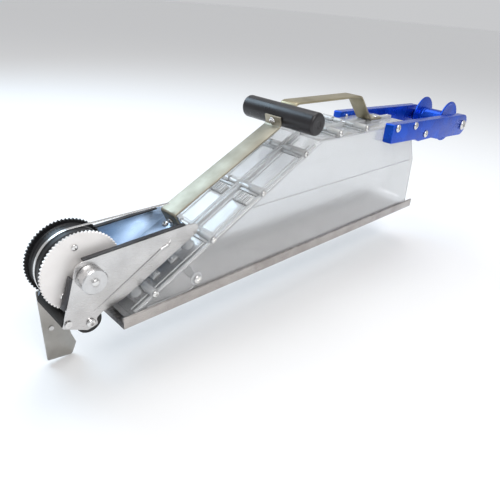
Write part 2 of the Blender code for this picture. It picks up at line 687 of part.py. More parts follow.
def head_bracket():
    """Both cheeks, the web between them, inward flanges, the pressed bead and the rear tab."""
    inner = HALF_HEAD - HEAD_SHEET
    bracket = side_plate("head_bracket", cheek_outline(), -HALF_HEAD, -inner)
    join(bracket, side_plate("far_cheek", cheek_outline(), inner, HALF_HEAD))
    web = thick_line([web_line(WEB_FRONT, HEAD_SHEET), web_line(HEAD_REAR - 0.001, HEAD_SHEET)],
                     HEAD_SHEET - 0.0001)
    join(bracket, side_plate("web", web, -HALF_HEAD + 0.001, HALF_HEAD - 0.001))
    tab = thick_line([tab_point(TAB_HEIGHT), tab_point(0.0)], HEAD_SHEET)
    join(bracket, side_plate("tab", tab, -HALF_STRAP, HALF_STRAP))
    front = thick_line([(HEAD_FRONT, HEAD_TOP - 0.0065), (CROSS_X - 0.001, CROSS_Z + 0.0175)], HEAD_SHEET)
    top = thick_line([(HEAD_REAR - 0.019, HEAD_TOP + 0.0056), (HEAD_FRONT + 0.010, HEAD_TOP - 0.0001)],
                     HEAD_SHEET)
    for side in SIDES.values():
        for label, strip, reach in (("front", front, 0.009), ("top", top, 0.006)):
            join(bracket, side_plate(f"{label}_flange_{side + 1}", strip,
                                     *across(side, HALF_HEAD - reach, HALF_HEAD - 0.0005)))
    join(bracket, wire("bead", [(x, -HALF_HEAD - 0.0001, z) for x, z in BEAD], BEAD_RADIUS))
    finish(cut(bracket, *bracket_holes()), "stainless")


def bracket_holes():
    """Cutters for the axle, the bolts, the web's screws, the strap's foot and the fin's upper rivet."""
    wide = HALF_HEAD + 0.01
    holes = [cross_rod("axle_holes", WHEEL_X, WHEEL_Z, -wide, wide, AXLE_RADIUS + RUN, 24),
             cross_rod("idler_holes", IDLER_X, IDLER_Z, -wide, wide, IDLER_BOLT + GAP, 16),
             cross_rod("cross_holes", CROSS_X, CROSS_Z, -wide, wide, CROSS_SHAFT + GAP, 16)]
    for index, x in enumerate(POSTS):
        low, high = on_slope(x, HEAD_STANDOFF - 0.003), on_slope(x, HEAD_STANDOFF + 0.006)
        for side in SIDES.values():
            holes.append(rod(f"web_hole_{index}_{side + 1}", (low[0], side * POST_Y, low[1]),
                             (high[0], side * POST_Y, high[1]), WEB_SCREW_RADIUS + GAP, 12))
    holes.append(tab_hole("tab_hole"))
    holes.append(cross_rod("fin_hole", *FIN_RIVETS[0], HALF_HEAD - 0.01, wide, RIVET_RADIUS + GAP))
    return holes


def tab_point(height):
    """Point on the front face of the bracket's tab, at a height off the web."""
    x, z = web_line(HEAD_REAR - 0.0055, 0.001)
    return (x + NORMAL.x * height, z + NORMAL.z * height)


def strap_face(lift=0.0):
    """Point on the front face of the strap's foot, at the foot screw or a little over it."""
    x, z = tab_point(TAB_SCREW_HEIGHT)
    back = HEAD_SHEET + GAP + STRAP_SHEET
    return (x - ALONG.x * back + NORMAL.x * lift, z - ALONG.z * back + NORMAL.z * lift)


def tab_hole(name):
    """Clearance hole along the slope for the screw through the strap's foot and the tab."""
    x, z = tab_point(TAB_SCREW_HEIGHT)
    place = Vector((x, 0.0, z))
    return rod(name, place - ALONG * 0.02, place + ALONG * 0.02, STRAP_SCREW_RADIUS + GAP, 12)


def fin():
    """Blade hanging from the far cheek, with one chamfered corner, and its two rivets."""
    inner = HALF_HEAD + GAP
    blade = side_plate("fin_blade", filleted(FIN, 3), inner, inner + FIN_SHEET)
    ends = (inner - 0.01, inner + 0.01)
    cut(blade, cross_rod("fin_shaft_clearance", CROSS_X, CROSS_Z, *ends, FIN_SHAFT_HOLE, 16))
    for index, (x, z) in enumerate(FIN_RIVETS):
        cut(blade, cross_rod(f"fin_bore_{index}", x, z, *ends, RIVET_RADIUS + GAP))
        depth = FIN_SHEET + (HEAD_SHEET + GAP if index == 0 else 0.0)
        rivet = bolt(f"fin_rivet_{index + 1}", (x, inner + FIN_SHEET + GAP, z), (0, 1, 0), RIVET_RADIUS,
                     depth + 2 * GAP, RIVET_HEAD, nut=RIVET_HEAD[0])
        finish(rivet, "screw")
    finish(blade, "stainless")


def web_screws():
    """Four pan-head screws through the web into the box's posts."""
    for index, x in enumerate(POSTS):
        for label, side in SIDES.items():
            seat = on_slope(x, HEAD_STANDOFF + HEAD_SHEET + GAP)
            screw = bolt(f"web_screw_{label}_{index + 1}", (seat[0], side * POST_Y, seat[1]), tuple(NORMAL),
                         WEB_SCREW_RADIUS, WEB_SCREW_LENGTH, WEB_HEAD)
            finish(screw, "screw")


# ---- tape wheel ----
def wheel_disc(name, side, kind):
    """Thin toothed disc at one end of the drum."""
    outline = []
    for step in range(2 * DISC_TEETH):
        radius = DISC_RADIUS - TOOTH_DEPTH * (step % 2)
        angle = math.pi * step / DISC_TEETH
        outline.append((WHEEL_X + radius * math.cos(angle), WHEEL_Z + radius * math.sin(angle)))
    inner = HALF_DISCS - DISC_THICKNESS
    disc = side_plate(name, outline, *across(side, inner, HALF_DISCS), (WHEEL_X, WHEEL_Z))
    ends = (side * (inner - 0.01), side * (HALF_DISCS + 0.01))
    cut(disc, cross_rod(name + "_bore", WHEEL_X, WHEEL_Z, *ends, AXLE_RADIUS + GAP, 24))
    for index, (x, z) in enumerate(disc_screw_places()):
        cut(disc, cross_rod(f"{name}_hole_{index}", x, z, *ends, DISC_SCREW_RADIUS + GAP, 10))
    finish(disc, kind)


def disc_screw_places():
    """Centres of the three screws that hold the near disc to the drum."""
    return circle(WHEEL_X, WHEEL_Z, DISC_SCREW_CIRCLE, DISC_SCREW_START, DISC_SCREW_START + 240, 2)


def wheel_turned(name, profile, side, sides, ring=False):
    """Turned piece on the wheel's axis, facing out on one side."""
    return turned(name, profile, (WHEEL_X, 0, WHEEL_Z), (0, side, 0), sides, ring)


def tape_wheel():
    """Drum, two toothed discs, axle, and the screws that hold the near disc."""
    wheel_disc("wheel_disc_near", -1, "aluminium")
    wheel_disc("wheel_disc_far", 1, "black_disc")
    half = HALF_DISCS - DISC_THICKNESS - GAP
    bore = AXLE_RADIUS + GAP
    barrel = [(bore, half), (DRUM_RADIUS, half), (DRUM_RADIUS, -half), (bore, -half)]
    drum = wheel_turned("wheel_drum", barrel, -1, 40, ring=True)
    for index, (x, z) in enumerate(disc_screw_places()):
        cut(drum, cross_rod(f"drum_bore_{index}", x, z, -half - 0.001, half + 0.001,
                            DISC_SCREW_RADIUS + GAP, 10))
        screw = bolt(f"disc_screw_{index + 1}", (x, -HALF_DISCS - GAP, z), (0, -1, 0), DISC_SCREW_RADIUS,
                     DISC_SCREW_LENGTH, DISC_HEAD)
        finish(screw, "screw")
    finish(drum, "drum")
    end = HALF_HEAD + GAP + KNOB_LENGTH - KNOB_CAP - GAP
    bar = [(0.0, end), (AXLE_RADIUS, end), (AXLE_RADIUS, -end), (0.0, -end)]
    finish(wheel_turned("wheel_axle", bar, -1, 24), "screw")


def collars_and_knobs():
    """A collar between each disc and its cheek, a capped knob outside it, and the near knob's screw."""
    bore = AXLE_RADIUS + GAP
    low, high = HALF_DISCS + GAP, HALF_HEAD - HEAD_SHEET - RUN
    collar = [(bore, high), (COLLAR_RADIUS, high), (COLLAR_RADIUS, low), (bore, low)]
    base, face = HALF_HEAD + RUN, HALF_HEAD + RUN + KNOB_LENGTH
    knob = [(0.0, face), (KNOB_RADIUS - 0.0012, face), (KNOB_RADIUS, face - 0.0012), (KNOB_RADIUS, base),
            (bore, base), (bore, face - KNOB_CAP), (0.0, face - KNOB_CAP)]
    for label, side in SIDES.items():
        finish(wheel_turned("wheel_collar_" + label, collar, side, 24, ring=True), "aluminium")
        finish(wheel_turned("wheel_knob_" + label, knob, side, 28), "aluminium")
    dome = [(0.0, 0.0022), (0.0028, 0.0018), (0.0045, 0.0006), (0.0045, 0.0), (0.0, 0.0)]
    finish(turned("knob_screw", dome, (WHEEL_X, -face - GAP, WHEEL_Z), (0, -1, 0), 16), "screw")


def stripper():
    """Narrow steel strip that rides on the middle of the drum and keeps the tape from wrapping."""
    face = strap_face(STRIPPER_END)
    start = (face[0] - ALONG.x * GAP, face[1] - ALONG.z * GAP)
    radius = DRUM_RADIUS + RUN + STRIPPER_SHEET
    reach = Vector((start[0] - WHEEL_X, start[1] - WHEEL_Z))
    touch = math.degrees(math.atan2(reach.y, reach.x) + math.acos(radius / reach.length))
    path = circle(WHEEL_X, WHEEL_Z, radius, STRIPPER_START, touch, 20) + [start]
    strip = thick_line(path, STRIPPER_SHEET)[::-1]
    finish(side_plate("tape_stripper", strip, -STRIPPER_WIDTH / 2, STRIPPER_WIDTH / 2), "strap")


def rollers():
    """Two rubber idler wheels on one bolt, and the roller across the front of the head."""
    inner = HALF_HEAD - HEAD_SHEET - RUN
    bore, low, edge = IDLER_BOLT + RUN, inner - IDLER_WIDTH, 0.0015
    tyre = [(bore, inner), (IDLER_RADIUS - edge, inner), (IDLER_RADIUS, inner - edge),
            (IDLER_RADIUS, low + edge), (IDLER_RADIUS - edge, low), (bore, low)]
    for label, side in SIDES.items():
        wheel = turned("idler_wheel_" + label, tyre, (IDLER_X, 0, IDLER_Z), (0, side, 0), 24, ring=True)
        finish(wheel, "rubber")
    through = HEAD_WIDTH + 2 * GAP
    axle = bolt("idler_bolt", (IDLER_X, -HALF_HEAD - GAP, IDLER_Z), (0, -1, 0), IDLER_BOLT, through,
                IDLER_HEAD, nut=IDLER_HEAD[0] - 0.0005)
    finish(axle, "screw")
    bore = CROSS_SHAFT + RUN
    tube = [(bore, inner), (CROSS_RADIUS, inner), (CROSS_RADIUS, -inner), (bore, -inner)]
    finish(turned("cross_roller", tube, (CROSS_X, 0, CROSS_Z), (0, -1, 0), 24, ring=True), "rubber")
    shaft = bolt("cross_shaft", (CROSS_X, -HALF_HEAD - GAP, CROSS_Z), (0, -1, 0), CROSS_SHAFT, through,
                 CROSS_HEAD, nut=CROSS_HEAD[0])
    finish(shaft, "screw")


# ---- T-grip on its strap ----
def grip_side(distance, lift=0.0):
    """Point a given distance from the grip's axis, along the grip bolt."""
    return (GRIP_X + math.cos(GRIP_TILT) * distance - math.sin(GRIP_TILT) * lift,
            GRIP_Z + math.sin(GRIP_TILT) * distance + math.cos(GRIP_TILT) * lift)


def front_strap():
    """Flat bar from the head's tab, parallel to the sloping face, up to the front of the grip."""
    face = strap_face()
    foot, bend = strap_face(-STRAP_FOOT[0]), strap_face(STRAP_FOOT[1])
    near_grip = grip_side(-GRIP_RADIUS - GAP - STRAP_SHEET, -0.014)
    end = grip_side(-GRIP_RADIUS - GAP - STRAP_SHEET, 0.008)
    path = [foot, bend, near_grip, end]
    strap = side_plate("front_strap", thick_line(path, STRAP_SHEET), -HALF_STRAP, HALF_STRAP)
    cut(strap, tab_hole("strap_foot_hole"), grip_hole("strap_grip_hole"))
    finish(strap, "strap")
    head = (face[0] - ALONG.x * GAP, 0, face[1] - ALONG.z * GAP)
    screw = bolt("strap_screw", head, tuple(-ALONG), STRAP_SCREW_RADIUS, STRAP_SHEET + HEAD_SHEET + 3 * GAP,
                 STRAP_HEAD, nut=STRAP_HEAD[0] - 0.0003)
    finish(screw, "screw")


def grip_hole(name):
    """Clearance hole for the bolt through the strap, the grip and the handle."""
    start, end = grip_side(-0.04), grip_side(0.04)
    return rod(name, (start[0], 0, start[1]), (end[0], 0, end[1]), GRIP_BOLT + GAP, 16)


def grip():
    """Black cylindrical T-grip and the bolt that holds it."""
    half = GRIP_LENGTH / 2
    shoulder = circle(GRIP_RADIUS - GRIP_EDGE, half - GRIP_EDGE, GRIP_EDGE, 90, 0, 3)
    profile = [(0.0, half)] + shoulder + [(r, -z) for r, z in reversed(shoulder)] + [(0.0, -half)]
    body = turned("t_grip", profile, (GRIP_X, 0, GRIP_Z), (0, -1, 0), 28)
    finish(cut(body, grip_hole("grip_bore")), "grip")
    seat = grip_side(-GRIP_RADIUS - 2 * GAP - STRAP_SHEET)
    through = 2 * (GRIP_RADIUS + STRAP_SHEET) + 4 * GAP
    screw = bolt("grip_bolt", (seat[0], 0, seat[1]), (-math.cos(GRIP_TILT), 0, -math.sin(GRIP_TILT)),
                 GRIP_BOLT, through, GRIP_HEAD, nut=GRIP_HEAD[0] - 0.0002)
    finish(screw, "screw")


# ---- carrying handle ----
def carry_handle():
    """Flat bar from the rear of the grip, over the top of the box, down to a foot on the seam."""
    base = BOX_TOP + SEAM_RIB_HEIGHT + GAP + STRAP_SHEET
    low = grip_side(GRIP_RADIUS + GAP, -0.009)
    high = grip_side(GRIP_RADIUS + GAP, 0.008)
    path = [(HANDLE_REAR, base), (HANDLE_FRONT, base), (HANDLE_FRONT - HANDLE_LEAN, HANDLE_TOP),
            (high[0] + 0.006, HANDLE_TOP), high, low]
    handle = side_plate("carry_handle", thick_line(path, -STRAP_SHEET), -HALF_STRAP, HALF_STRAP)
    cut(handle, grip_hole("handle_grip_hole"))
    x = (HANDLE_FRONT + HANDLE_REAR) / 2 + 0.004
    bore = HANDLE_SCREW_RADIUS + GAP
    for label, side in SIDES.items():
        y = side * HANDLE_SCREW_Y
        cut(handle, rod("handle_hole_" + label, (x, y, base - 0.01), (x, y, base + 0.01), bore, 12))
        cut(bpy.data.objects["box_half_" + label],
            rod("handle_bore_" + label, (x, y, BOX_TOP - 0.01), (x, y, base + 0.01), bore, 12))
        screw = bolt("handle_screw_" + label, (x, y, base + GAP), (0, 0, 1), HANDLE_SCREW_RADIUS,
                     STRAP_SHEET + HANDLE_SCREW_DEPTH, HANDLE_HEAD)
        finish(screw, "screw")
    finish(handle, "strap")


# ---- yoke and tape spool ----
def arm_outline():
    """Side view of one arm: a bar pitched down a little, ending in an eye round the spool axle."""
    eye = YOKE_HEIGHT * 0.62
    corners = [(*arm_point(0.001, YOKE_HEIGHT), 0.003), (*arm_point(0.090, YOKE_HEIGHT), 0.004),
               (*arm_point(0.104, YOKE_HEIGHT + 0.0045), 0.004),
               (*arm_point(0.156, YOKE_HEIGHT + 0.0025), 0.006),
               (YOKE_FRONT + 0.204, SPOOL_Z - eye - 0.001, 0.010), (*arm_point(0.0, 0.0), 0.003)]
    front = filleted(corners)
    rear = circle(SPOOL_X, SPOOL_Z, eye, -90, 86, 12)
    split = len(front) - 5
    return front[:split] + rear + front[split:]


def arm_point(back, below):
    """Point (x, z) on an arm, back from its front end and below its pitched top edge."""
    return (YOKE_FRONT + back, YOKE_TOP - below - back * math.tan(YOKE_PITCH))


def yoke():
    """Two blue arms on the sides of the box, joined by a spacer bar, with their bolts."""
    bore = YOKE_BOLT_RADIUS + GAP
    for label, side in SIDES.items():
        arm = side_plate("yoke_arm_" + label, arm_outline(), *across(side, ARM_INNER, ARM_OUTER))
        ends = (side * (ARM_INNER - 0.006), side * (ARM_OUTER + 0.018))
        cut(arm, cross_rod("axle_hole_" + label, SPOOL_X, SPOOL_Z, *ends, SPOOL_AXLE + GAP, 20))
        for index, place in enumerate(YOKE_BOLTS):
            x, z = arm_point(*place)
            cut(arm, cross_rod(f"arm_hole_{label}_{index}", x, z, *ends, bore))
            length = YOKE_ARM + 0.010
            if x < TOP_END:
                length = YOKE_ARM + BOX_WALL + 0.0004 + 2 * GAP
                cut(bpy.data.objects["box_half_" + label],
                    cross_rod(f"half_hole_{label}_{index}", x, z, side * (HALF_BOX - 0.011), ends[1], bore))
            screw = bolt(f"yoke_bolt_{label}_{index + 1}", (x, side * (ARM_OUTER + GAP), z), (0, side, 0),
                         YOKE_BOLT_RADIUS, length, YOKE_HEAD)
            finish(screw, "screw")
        finish(arm, "blue")
    x, z = arm_point(*YOKE_BOLTS[-1])
    end = ARM_INNER - GAP
    bar = cross_rod("yoke_spacer", x, z, -end, end, SPACER_RADIUS, 20)
    for label, side in SIDES.items():
        ends = (side * (end - SPACER_BORE), side * (end + 0.01))
        cut(bar, cross_rod("spacer_bore_" + label, x, z, *ends, bore))
    finish(bar, "blue")


def spool():
    """Turning core with its far flange, the near flange, the fixed axle and its nut."""
    half_tape = TAPE_WIDTH / 2
    end = ARM_INNER - RUN
    bore = SPOOL_AXLE + RUN
    rim = half_tape + FLANGE_THICKNESS
    profile = [(bore, end), (SPOOL_HUB, end), (SPOOL_HUB, half_tape + 0.0001),
               (SPOOL_CORE, half_tape - 0.0005), (SPOOL_CORE, -half_tape),
               (SPOOL_RADIUS - FLANGE_EDGE, -half_tape),
               (SPOOL_RADIUS, -half_tape - FLANGE_EDGE), (SPOOL_RADIUS, -rim + FLANGE_EDGE),
               (SPOOL_RADIUS - FLANGE_EDGE, -rim), (SPOOL_HUB, -rim), (SPOOL_HUB, -end), (bore, -end)]
    core = turned("spool_core", profile, (SPOOL_X, 0, SPOOL_Z), (0, -1, 0), 32, ring=True)
    finish(core, "blue")
    near = half_tape + GAP
    far = near + FLANGE_THICKNESS
    hub = SPOOL_HUB + GAP
    profile = [(hub, far), (SPOOL_RADIUS - FLANGE_EDGE, far), (SPOOL_RADIUS, far - FLANGE_EDGE),
               (SPOOL_RADIUS, near + FLANGE_EDGE), (SPOOL_RADIUS - FLANGE_EDGE, near), (hub, near)]
    flange = turned("spool_flange", profile, (SPOOL_X, 0, SPOOL_Z), (0, -1, 0), 32, ring=True)
    finish(flange, "blue")
    axle = bolt("spool_axle", (SPOOL_X, -ARM_OUTER - GAP, SPOOL_Z), (0, -1, 0), SPOOL_AXLE,
                2 * ARM_OUTER + 2 * GAP, SPOOL_HEAD, nut=SPOOL_HEAD[0] - 0.001, sides=24)
    finish(axle, "screw")


seam_gasket()
shell_screws()
tray()
flow_gate()
nose_wiper()
head_bracket()
fin()
web_screws()
tape_wheel()
collars_and_knobs()
stripper()
rollers()
front_strap()
grip()
carry_handle()
yoke()
spool()
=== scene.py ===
# %% [markdown]
# # A hand-held drywall taping tool
# Compound is held in a clear box on a slide-off steel tray. Paper tape comes off the spool at the
# back, runs through the box and leaves over the toothed wheel in front. The solids of the tool come
# in first, as a fixed frame. Every cell after this one either gives a solid a better finish, or
# replaces it with a surface worked out in numpy.

# %% Load the frame
import math

import bmesh
import bpy
import numpy as np
from mathutils import Matrix, Vector


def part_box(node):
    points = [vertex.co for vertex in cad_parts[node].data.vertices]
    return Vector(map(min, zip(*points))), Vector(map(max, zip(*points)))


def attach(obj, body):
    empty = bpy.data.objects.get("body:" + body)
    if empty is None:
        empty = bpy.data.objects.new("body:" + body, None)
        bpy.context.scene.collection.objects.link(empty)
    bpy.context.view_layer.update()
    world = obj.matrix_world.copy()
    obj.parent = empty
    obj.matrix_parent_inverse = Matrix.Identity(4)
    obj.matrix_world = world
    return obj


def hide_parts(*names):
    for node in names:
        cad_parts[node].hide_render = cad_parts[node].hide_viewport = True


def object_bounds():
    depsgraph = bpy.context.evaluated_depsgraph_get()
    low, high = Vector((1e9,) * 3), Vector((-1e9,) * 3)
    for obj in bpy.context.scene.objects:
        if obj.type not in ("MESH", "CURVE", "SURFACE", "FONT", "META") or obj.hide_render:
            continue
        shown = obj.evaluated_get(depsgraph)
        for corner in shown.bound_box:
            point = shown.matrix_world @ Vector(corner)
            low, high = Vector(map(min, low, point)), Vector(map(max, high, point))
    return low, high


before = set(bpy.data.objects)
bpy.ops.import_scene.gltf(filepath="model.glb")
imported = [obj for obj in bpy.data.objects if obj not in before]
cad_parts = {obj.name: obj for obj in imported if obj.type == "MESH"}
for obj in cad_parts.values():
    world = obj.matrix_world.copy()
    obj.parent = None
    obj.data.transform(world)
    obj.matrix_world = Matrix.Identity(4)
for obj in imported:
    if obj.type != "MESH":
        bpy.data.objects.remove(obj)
cad_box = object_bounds()
print("solids loaded:", len(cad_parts))

# %% [markdown]
# ## The camera
# The tool is seen from its near side, from ahead of the wheel and a little above. The camera's
# place and the directions it is built on are fixed first. A lens a little wider than normal gives
# the strong foreshortening.

# %% Camera
CAMERA_PLACE = Vector((-0.5604, -0.4509, 0.3523))
CAMERA_RIGHT = Vector((0.71500, -0.69468, 0.07866))
CAMERA_VIEW = Vector((0.64232, 0.60831, -0.46624))
LENS = 33.6


def camera_matrix(place, right, view):
    """Columns are right, up and back, where up is back crossed with right."""
    back = -view.normalized()
    up = back.cross(right).normalized()
    return Matrix.Translation(place) @ Matrix((up.cross(back), up, back)).transposed().to_4x4()


camera_data = bpy.data.cameras.new("camera")
camera_data.lens = LENS
camera_data.clip_start = 0.01
camera = bpy.data.objects.new("camera", camera_data)
camera.matrix_world = camera_matrix(CAMERA_PLACE, CAMERA_RIGHT, CAMERA_VIEW)
bpy.context.scene.collection.objects.link(camera)
bpy.context.scene.camera = camera

# %% [markdown]
# ## Floor and light
# A pale floor with soft light from all round is how small tools are shot. A white floor alone would
# leave the metal flat, so three large lamps of different strength give each bend a bright and a
# dark side, and the far lamp throws cold light on the folded head.

# %% Floor and lamps
def plain(name, colour, roughness=0.6, metallic=0.0):
    """A material with one shader, and the node tree to build on."""
    made = bpy.data.materials.new(name)
    made.use_nodes = True
    shader = made.node_tree.nodes["Principled BSDF"]
    shader.inputs["Base Color"].default_value = (*colour, 1.0)
    shader.inputs["Roughness"].default_value = roughness
    shader.inputs["Metallic"].default_value = metallic
    return made


def lamp(name, place, target, size, power, colour=(1.0, 1.0, 1.0)):
    """Square lamp of a size in metres, turned to face a point."""
    data = bpy.data.lights.new(name, "AREA")
    data.shape = "SQUARE"
    data.size = size
    data.energy = power
    data.color = colour
    made = bpy.data.objects.new(name, data)
    turn = (Vector(target) - Vector(place)).to_track_quat("-Z", "Y")
    made.matrix_world = Matrix.Translation(place) @ turn.to_matrix().to_4x4()
    bpy.context.scene.collection.objects.link(made)


FLOOR_REACH = 40
floor_z = float(cad_box[0][2]) - 0.0005
floor_mesh = bpy.data.meshes.new("floor")
floor_corners = ((-FLOOR_REACH, -FLOOR_REACH), (FLOOR_REACH, -FLOOR_REACH),
                 (FLOOR_REACH, FLOOR_REACH), (-FLOOR_REACH, FLOOR_REACH))
floor_mesh.from_pydata([(x, y, floor_z) for x, y in floor_corners], [], [(0, 1, 2, 3)])
floor_mesh.materials.append(plain("floor_paint", (0.93, 0.93, 0.93), 0.9))
floor = bpy.data.objects.new("floor", floor_mesh)
bpy.context.scene.collection.objects.link(floor)
world = bpy.data.worlds.new("studio")
world.use_nodes = True
world.node_tree.nodes["Background"].inputs["Color"].default_value = (0.97, 0.98, 1.0, 1.0)
world.node_tree.nodes["Background"].inputs["Strength"].default_value = 0.60
bpy.context.scene.world = world
lamp("key", (-0.4, -1.6, 1.7), (0.0, 0.0, 0.05), 1.3, 24)
lamp("top", (0.5, 0.5, 2.2), (0.0, 0.0, 0.1), 1.4, 16)
lamp("far_rim", (-0.46, 1.5, 1.4), (-0.25, 0.0, 0.08), 1.0, 16, (0.62, 0.82, 1.0))
bpy.context.scene.view_settings.view_transform = "Standard"

# %% [markdown]
# ## Reading sizes off the solids
# What a solid fixes is read off it. A round solid that lies across the tool gives its centre and
# radius from its box, and a screw at any angle gives its head, shank and nut from how far its points
# are from its axis. Outlines finer than the solids are given as distances back from the tray's front edge.

# %% Measures
CLEAR = 0.0003
FRONT = float(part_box("base_tray")[0][0])
SIDES = {"near": -1.0, "far": 1.0}
GRIP_TILT = math.radians(20)


def span(node):
    """Lowest and highest corner of a solid, as arrays."""
    low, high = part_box(node)
    return np.array(low, float), np.array(high, float)


def round_across(node):
    """Centre, radius and half length of a round solid whose axis is Y."""
    low, high = span(node)
    return (low + high) / 2, (high[0] - low[0]) / 2, (high[1] - low[1]) / 2


def place_at(back, y, z):
    """World point from a distance back from the tray's front edge."""
    return np.array((FRONT + back, y, z))


screw_low = (span("shell_screw_1")[0] + span("shell_screw_1")[1]) / 2
screw_high = (span("shell_screw_4")[0] + span("shell_screw_4")[1]) / 2
SLOPE_ANGLE = math.atan2(screw_high[2] - screw_low[2], screw_high[0] - screw_low[0])
ALONG = np.array((math.cos(SLOPE_ANGLE), 0.0, math.sin(SLOPE_ANGLE)))
NORMAL = np.array((-math.sin(SLOPE_ANGLE), 0.0, math.cos(SLOPE_ANGLE)))
print("slope of the box:", round(math.degrees(SLOPE_ANGLE), 2), "degrees")

# %% [markdown]
# ## From arrays to meshes
# A surface here is a grid of points worked out at once. These helpers turn grids into closed
# meshes, weld the seams and poles, and put the result on the body it rides on.

# %% Grid helpers
def grid_faces(rows, columns, wrap=False):
    """Quads of a grid stored row by row. With wrap, the last column joins the first."""
    i, j = np.meshgrid(np.arange(rows - 1), np.arange(columns if wrap else columns - 1), indexing="ij")
    k = (j + 1) % columns
    corners = (i * columns + j, i * columns + k, (i + 1) * columns + k, (i + 1) * columns + j)
    return np.stack(corners, axis=-1).reshape(-1, 4)


def together(*shapes):
    """Several (points, faces) shapes as one."""
    points = []
    faces = []
    count = 0
    for shape_points, shape_faces in shapes:
        points.append(np.asarray(shape_points, float).reshape(-1, 3))
        faces += [tuple(int(v) + count for v in face) for face in shape_faces]
        count += len(points[-1])
    return np.concatenate(points), faces


def mesh_of(name, shape, smooth=32.0):
    """Mesh from (points, faces), welded, facing out, with edges over an angle kept sharp."""
    points, faces = shape
    mesh = bpy.data.meshes.new(name)
    mesh.from_pydata(np.asarray(points).reshape(-1, 3).tolist(), [], [tuple(map(int, f)) for f in faces])
    work = bmesh.new()
    work.from_mesh(mesh)
    bmesh.ops.remove_doubles(work, verts=work.verts, dist=2e-6)
    bmesh.ops.dissolve_degenerate(work, edges=work.edges, dist=1e-6)
    bmesh.ops.recalc_face_normals(work, faces=work.faces)
    work.to_mesh(mesh)
    work.free()
    mesh.shade_smooth()
    mesh.set_sharp_from_angle(angle=math.radians(smooth))
    return mesh


def piece(name, shape, material, body, stands_for=(), smooth=32.0):
    """A finished piece at the origin that rides on a body and stands for some solids."""
    mesh = mesh_of(name, shape, smooth)
    mesh.materials.append(material)
    made = bpy.data.objects.new(name, mesh)
    bpy.context.scene.collection.objects.link(made)
    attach(made, body)
    if stands_for:
        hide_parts(*stands_for)
    return made


# %% [markdown]
# ### Turned pieces
# Anything made on a lathe is a profile of radius and height spun about an axis. Letting the radius
# depend on the angle as well turns the same formula into teeth, hex sockets and hex nuts.

# %% Lathe
def axis_frame(axis):
    """Two directions square to an axis, and the axis itself."""
    w = np.asarray(axis, float) / np.linalg.norm(axis)
    u = np.cross((0.0, 0.0, 1.0) if abs(w[2]) < 0.9 else (1.0, 0.0, 0.0), w)
    u /= np.linalg.norm(u)
    return u, np.cross(w, u), w


def turned(radii, heights, centre, axis, sides=48, ring=False):
    """Point = centre + r(k, t)·(u cos t + v sin t) + h(k)·w, for rings k and angles t."""
    u, v, w = axis_frame(axis)
    t = np.arange(sides) * math.tau / sides
    radii = np.asarray(radii, float)
    if radii.ndim == 1:
        radii = np.repeat(radii[:, None], sides, axis=1)
    heights = np.asarray(heights, float)
    if ring:
        radii = np.vstack((radii, radii[:1]))
        heights = np.append(heights, heights[0])
    spoke = np.cos(t)[:, None] * u + np.sin(t)[:, None] * v
    points = np.asarray(centre) + radii[:, :, None] * spoke[None] + heights[:, None, None] * w
    return points, grid_faces(len(heights), sides, wrap=True)


def softened(profile, edge=0.0005, steps=3):
    """Profile of (radius, height) corners with each corner cut by an arc of the given size."""
    profile = [np.asarray(p, float) for p in profile]
    out = [profile[0]]
    for before, here, after in zip(profile[:-2], profile[1:-1], profile[2:]):
        reach_in = min(edge, 0.4 * np.linalg.norm(before - here))
        reach_out = min(edge, 0.4 * np.linalg.norm(after - here))
        start = here + (before - here) * reach_in / max(np.linalg.norm(before - here), 1e-9)
        end = here + (after - here) * reach_out / max(np.linalg.norm(after - here), 1e-9)
        s = np.linspace(0, 1, steps + 1)[:, None]
        out += list((1 - s) ** 2 * start + 2 * s * (1 - s) * here + s ** 2 * end)
    return np.array(out + [profile[-1]])


def lathe(profile, centre, axis, sides=48, edge=0.0005):
    """Softened profile, top pole to bottom pole, spun about an axis."""
    profile = softened(profile, edge)
    return turned(profile[:, 0], profile[:, 1], centre, axis, sides)


def ring_lathe(profile, centre, axis, sides=48, edge=0.0005):
    """Softened closed profile with a bore, spun about an axis."""
    middle = (np.asarray(profile[0]) + np.asarray(profile[-1])) / 2
    profile = softened([middle, *profile, middle], edge)
    return turned(profile[:-1, 0], profile[:-1, 1], centre, axis, sides, ring=True)


# %% [markdown]
# ### Flat and bent sheet
# A sheet part is an outline given a thickness, with a small round worked on both edges. A bent
# strap is a rounded rectangle carried along a path whose corners are arcs.

# %% Sheet
def arc_corners(corners, steps=6):
    """Closed outline from (x, z, radius) corners, each corner turned into an arc of its radius."""
    outline = []
    count = len(corners)
    for i, (x, z, radius) in enumerate(corners):
        here = np.array((x, z))
        before = np.array(corners[i - 1][:2]) - here
        after = np.array(corners[(i + 1) % count][:2]) - here
        outline.append(corner_arc(here, before, after, radius, steps))
    return np.concatenate(outline)


def corner_arc(here, before, after, radius, steps):
    """Points of the arc that touches both legs of a corner."""
    a = before / np.linalg.norm(before)
    b = after / np.linalg.norm(after)
    half = math.acos(np.clip(a @ b, -1, 1)) / 2
    if radius <= 0 or half > math.radians(89.5):
        return here[None]
    reach = min(radius / math.tan(half), 0.45 * np.linalg.norm(before), 0.45 * np.linalg.norm(after))
    s = np.linspace(0, 1, steps + 1)[:, None]
    weight = 2 * s * (1 - s) * math.sin(half)
    total = (1 - s) ** 2 + weight + s ** 2
    return ((1 - s) ** 2 * (here + a * reach) + weight * here + s ** 2 * (here + b * reach)) / total


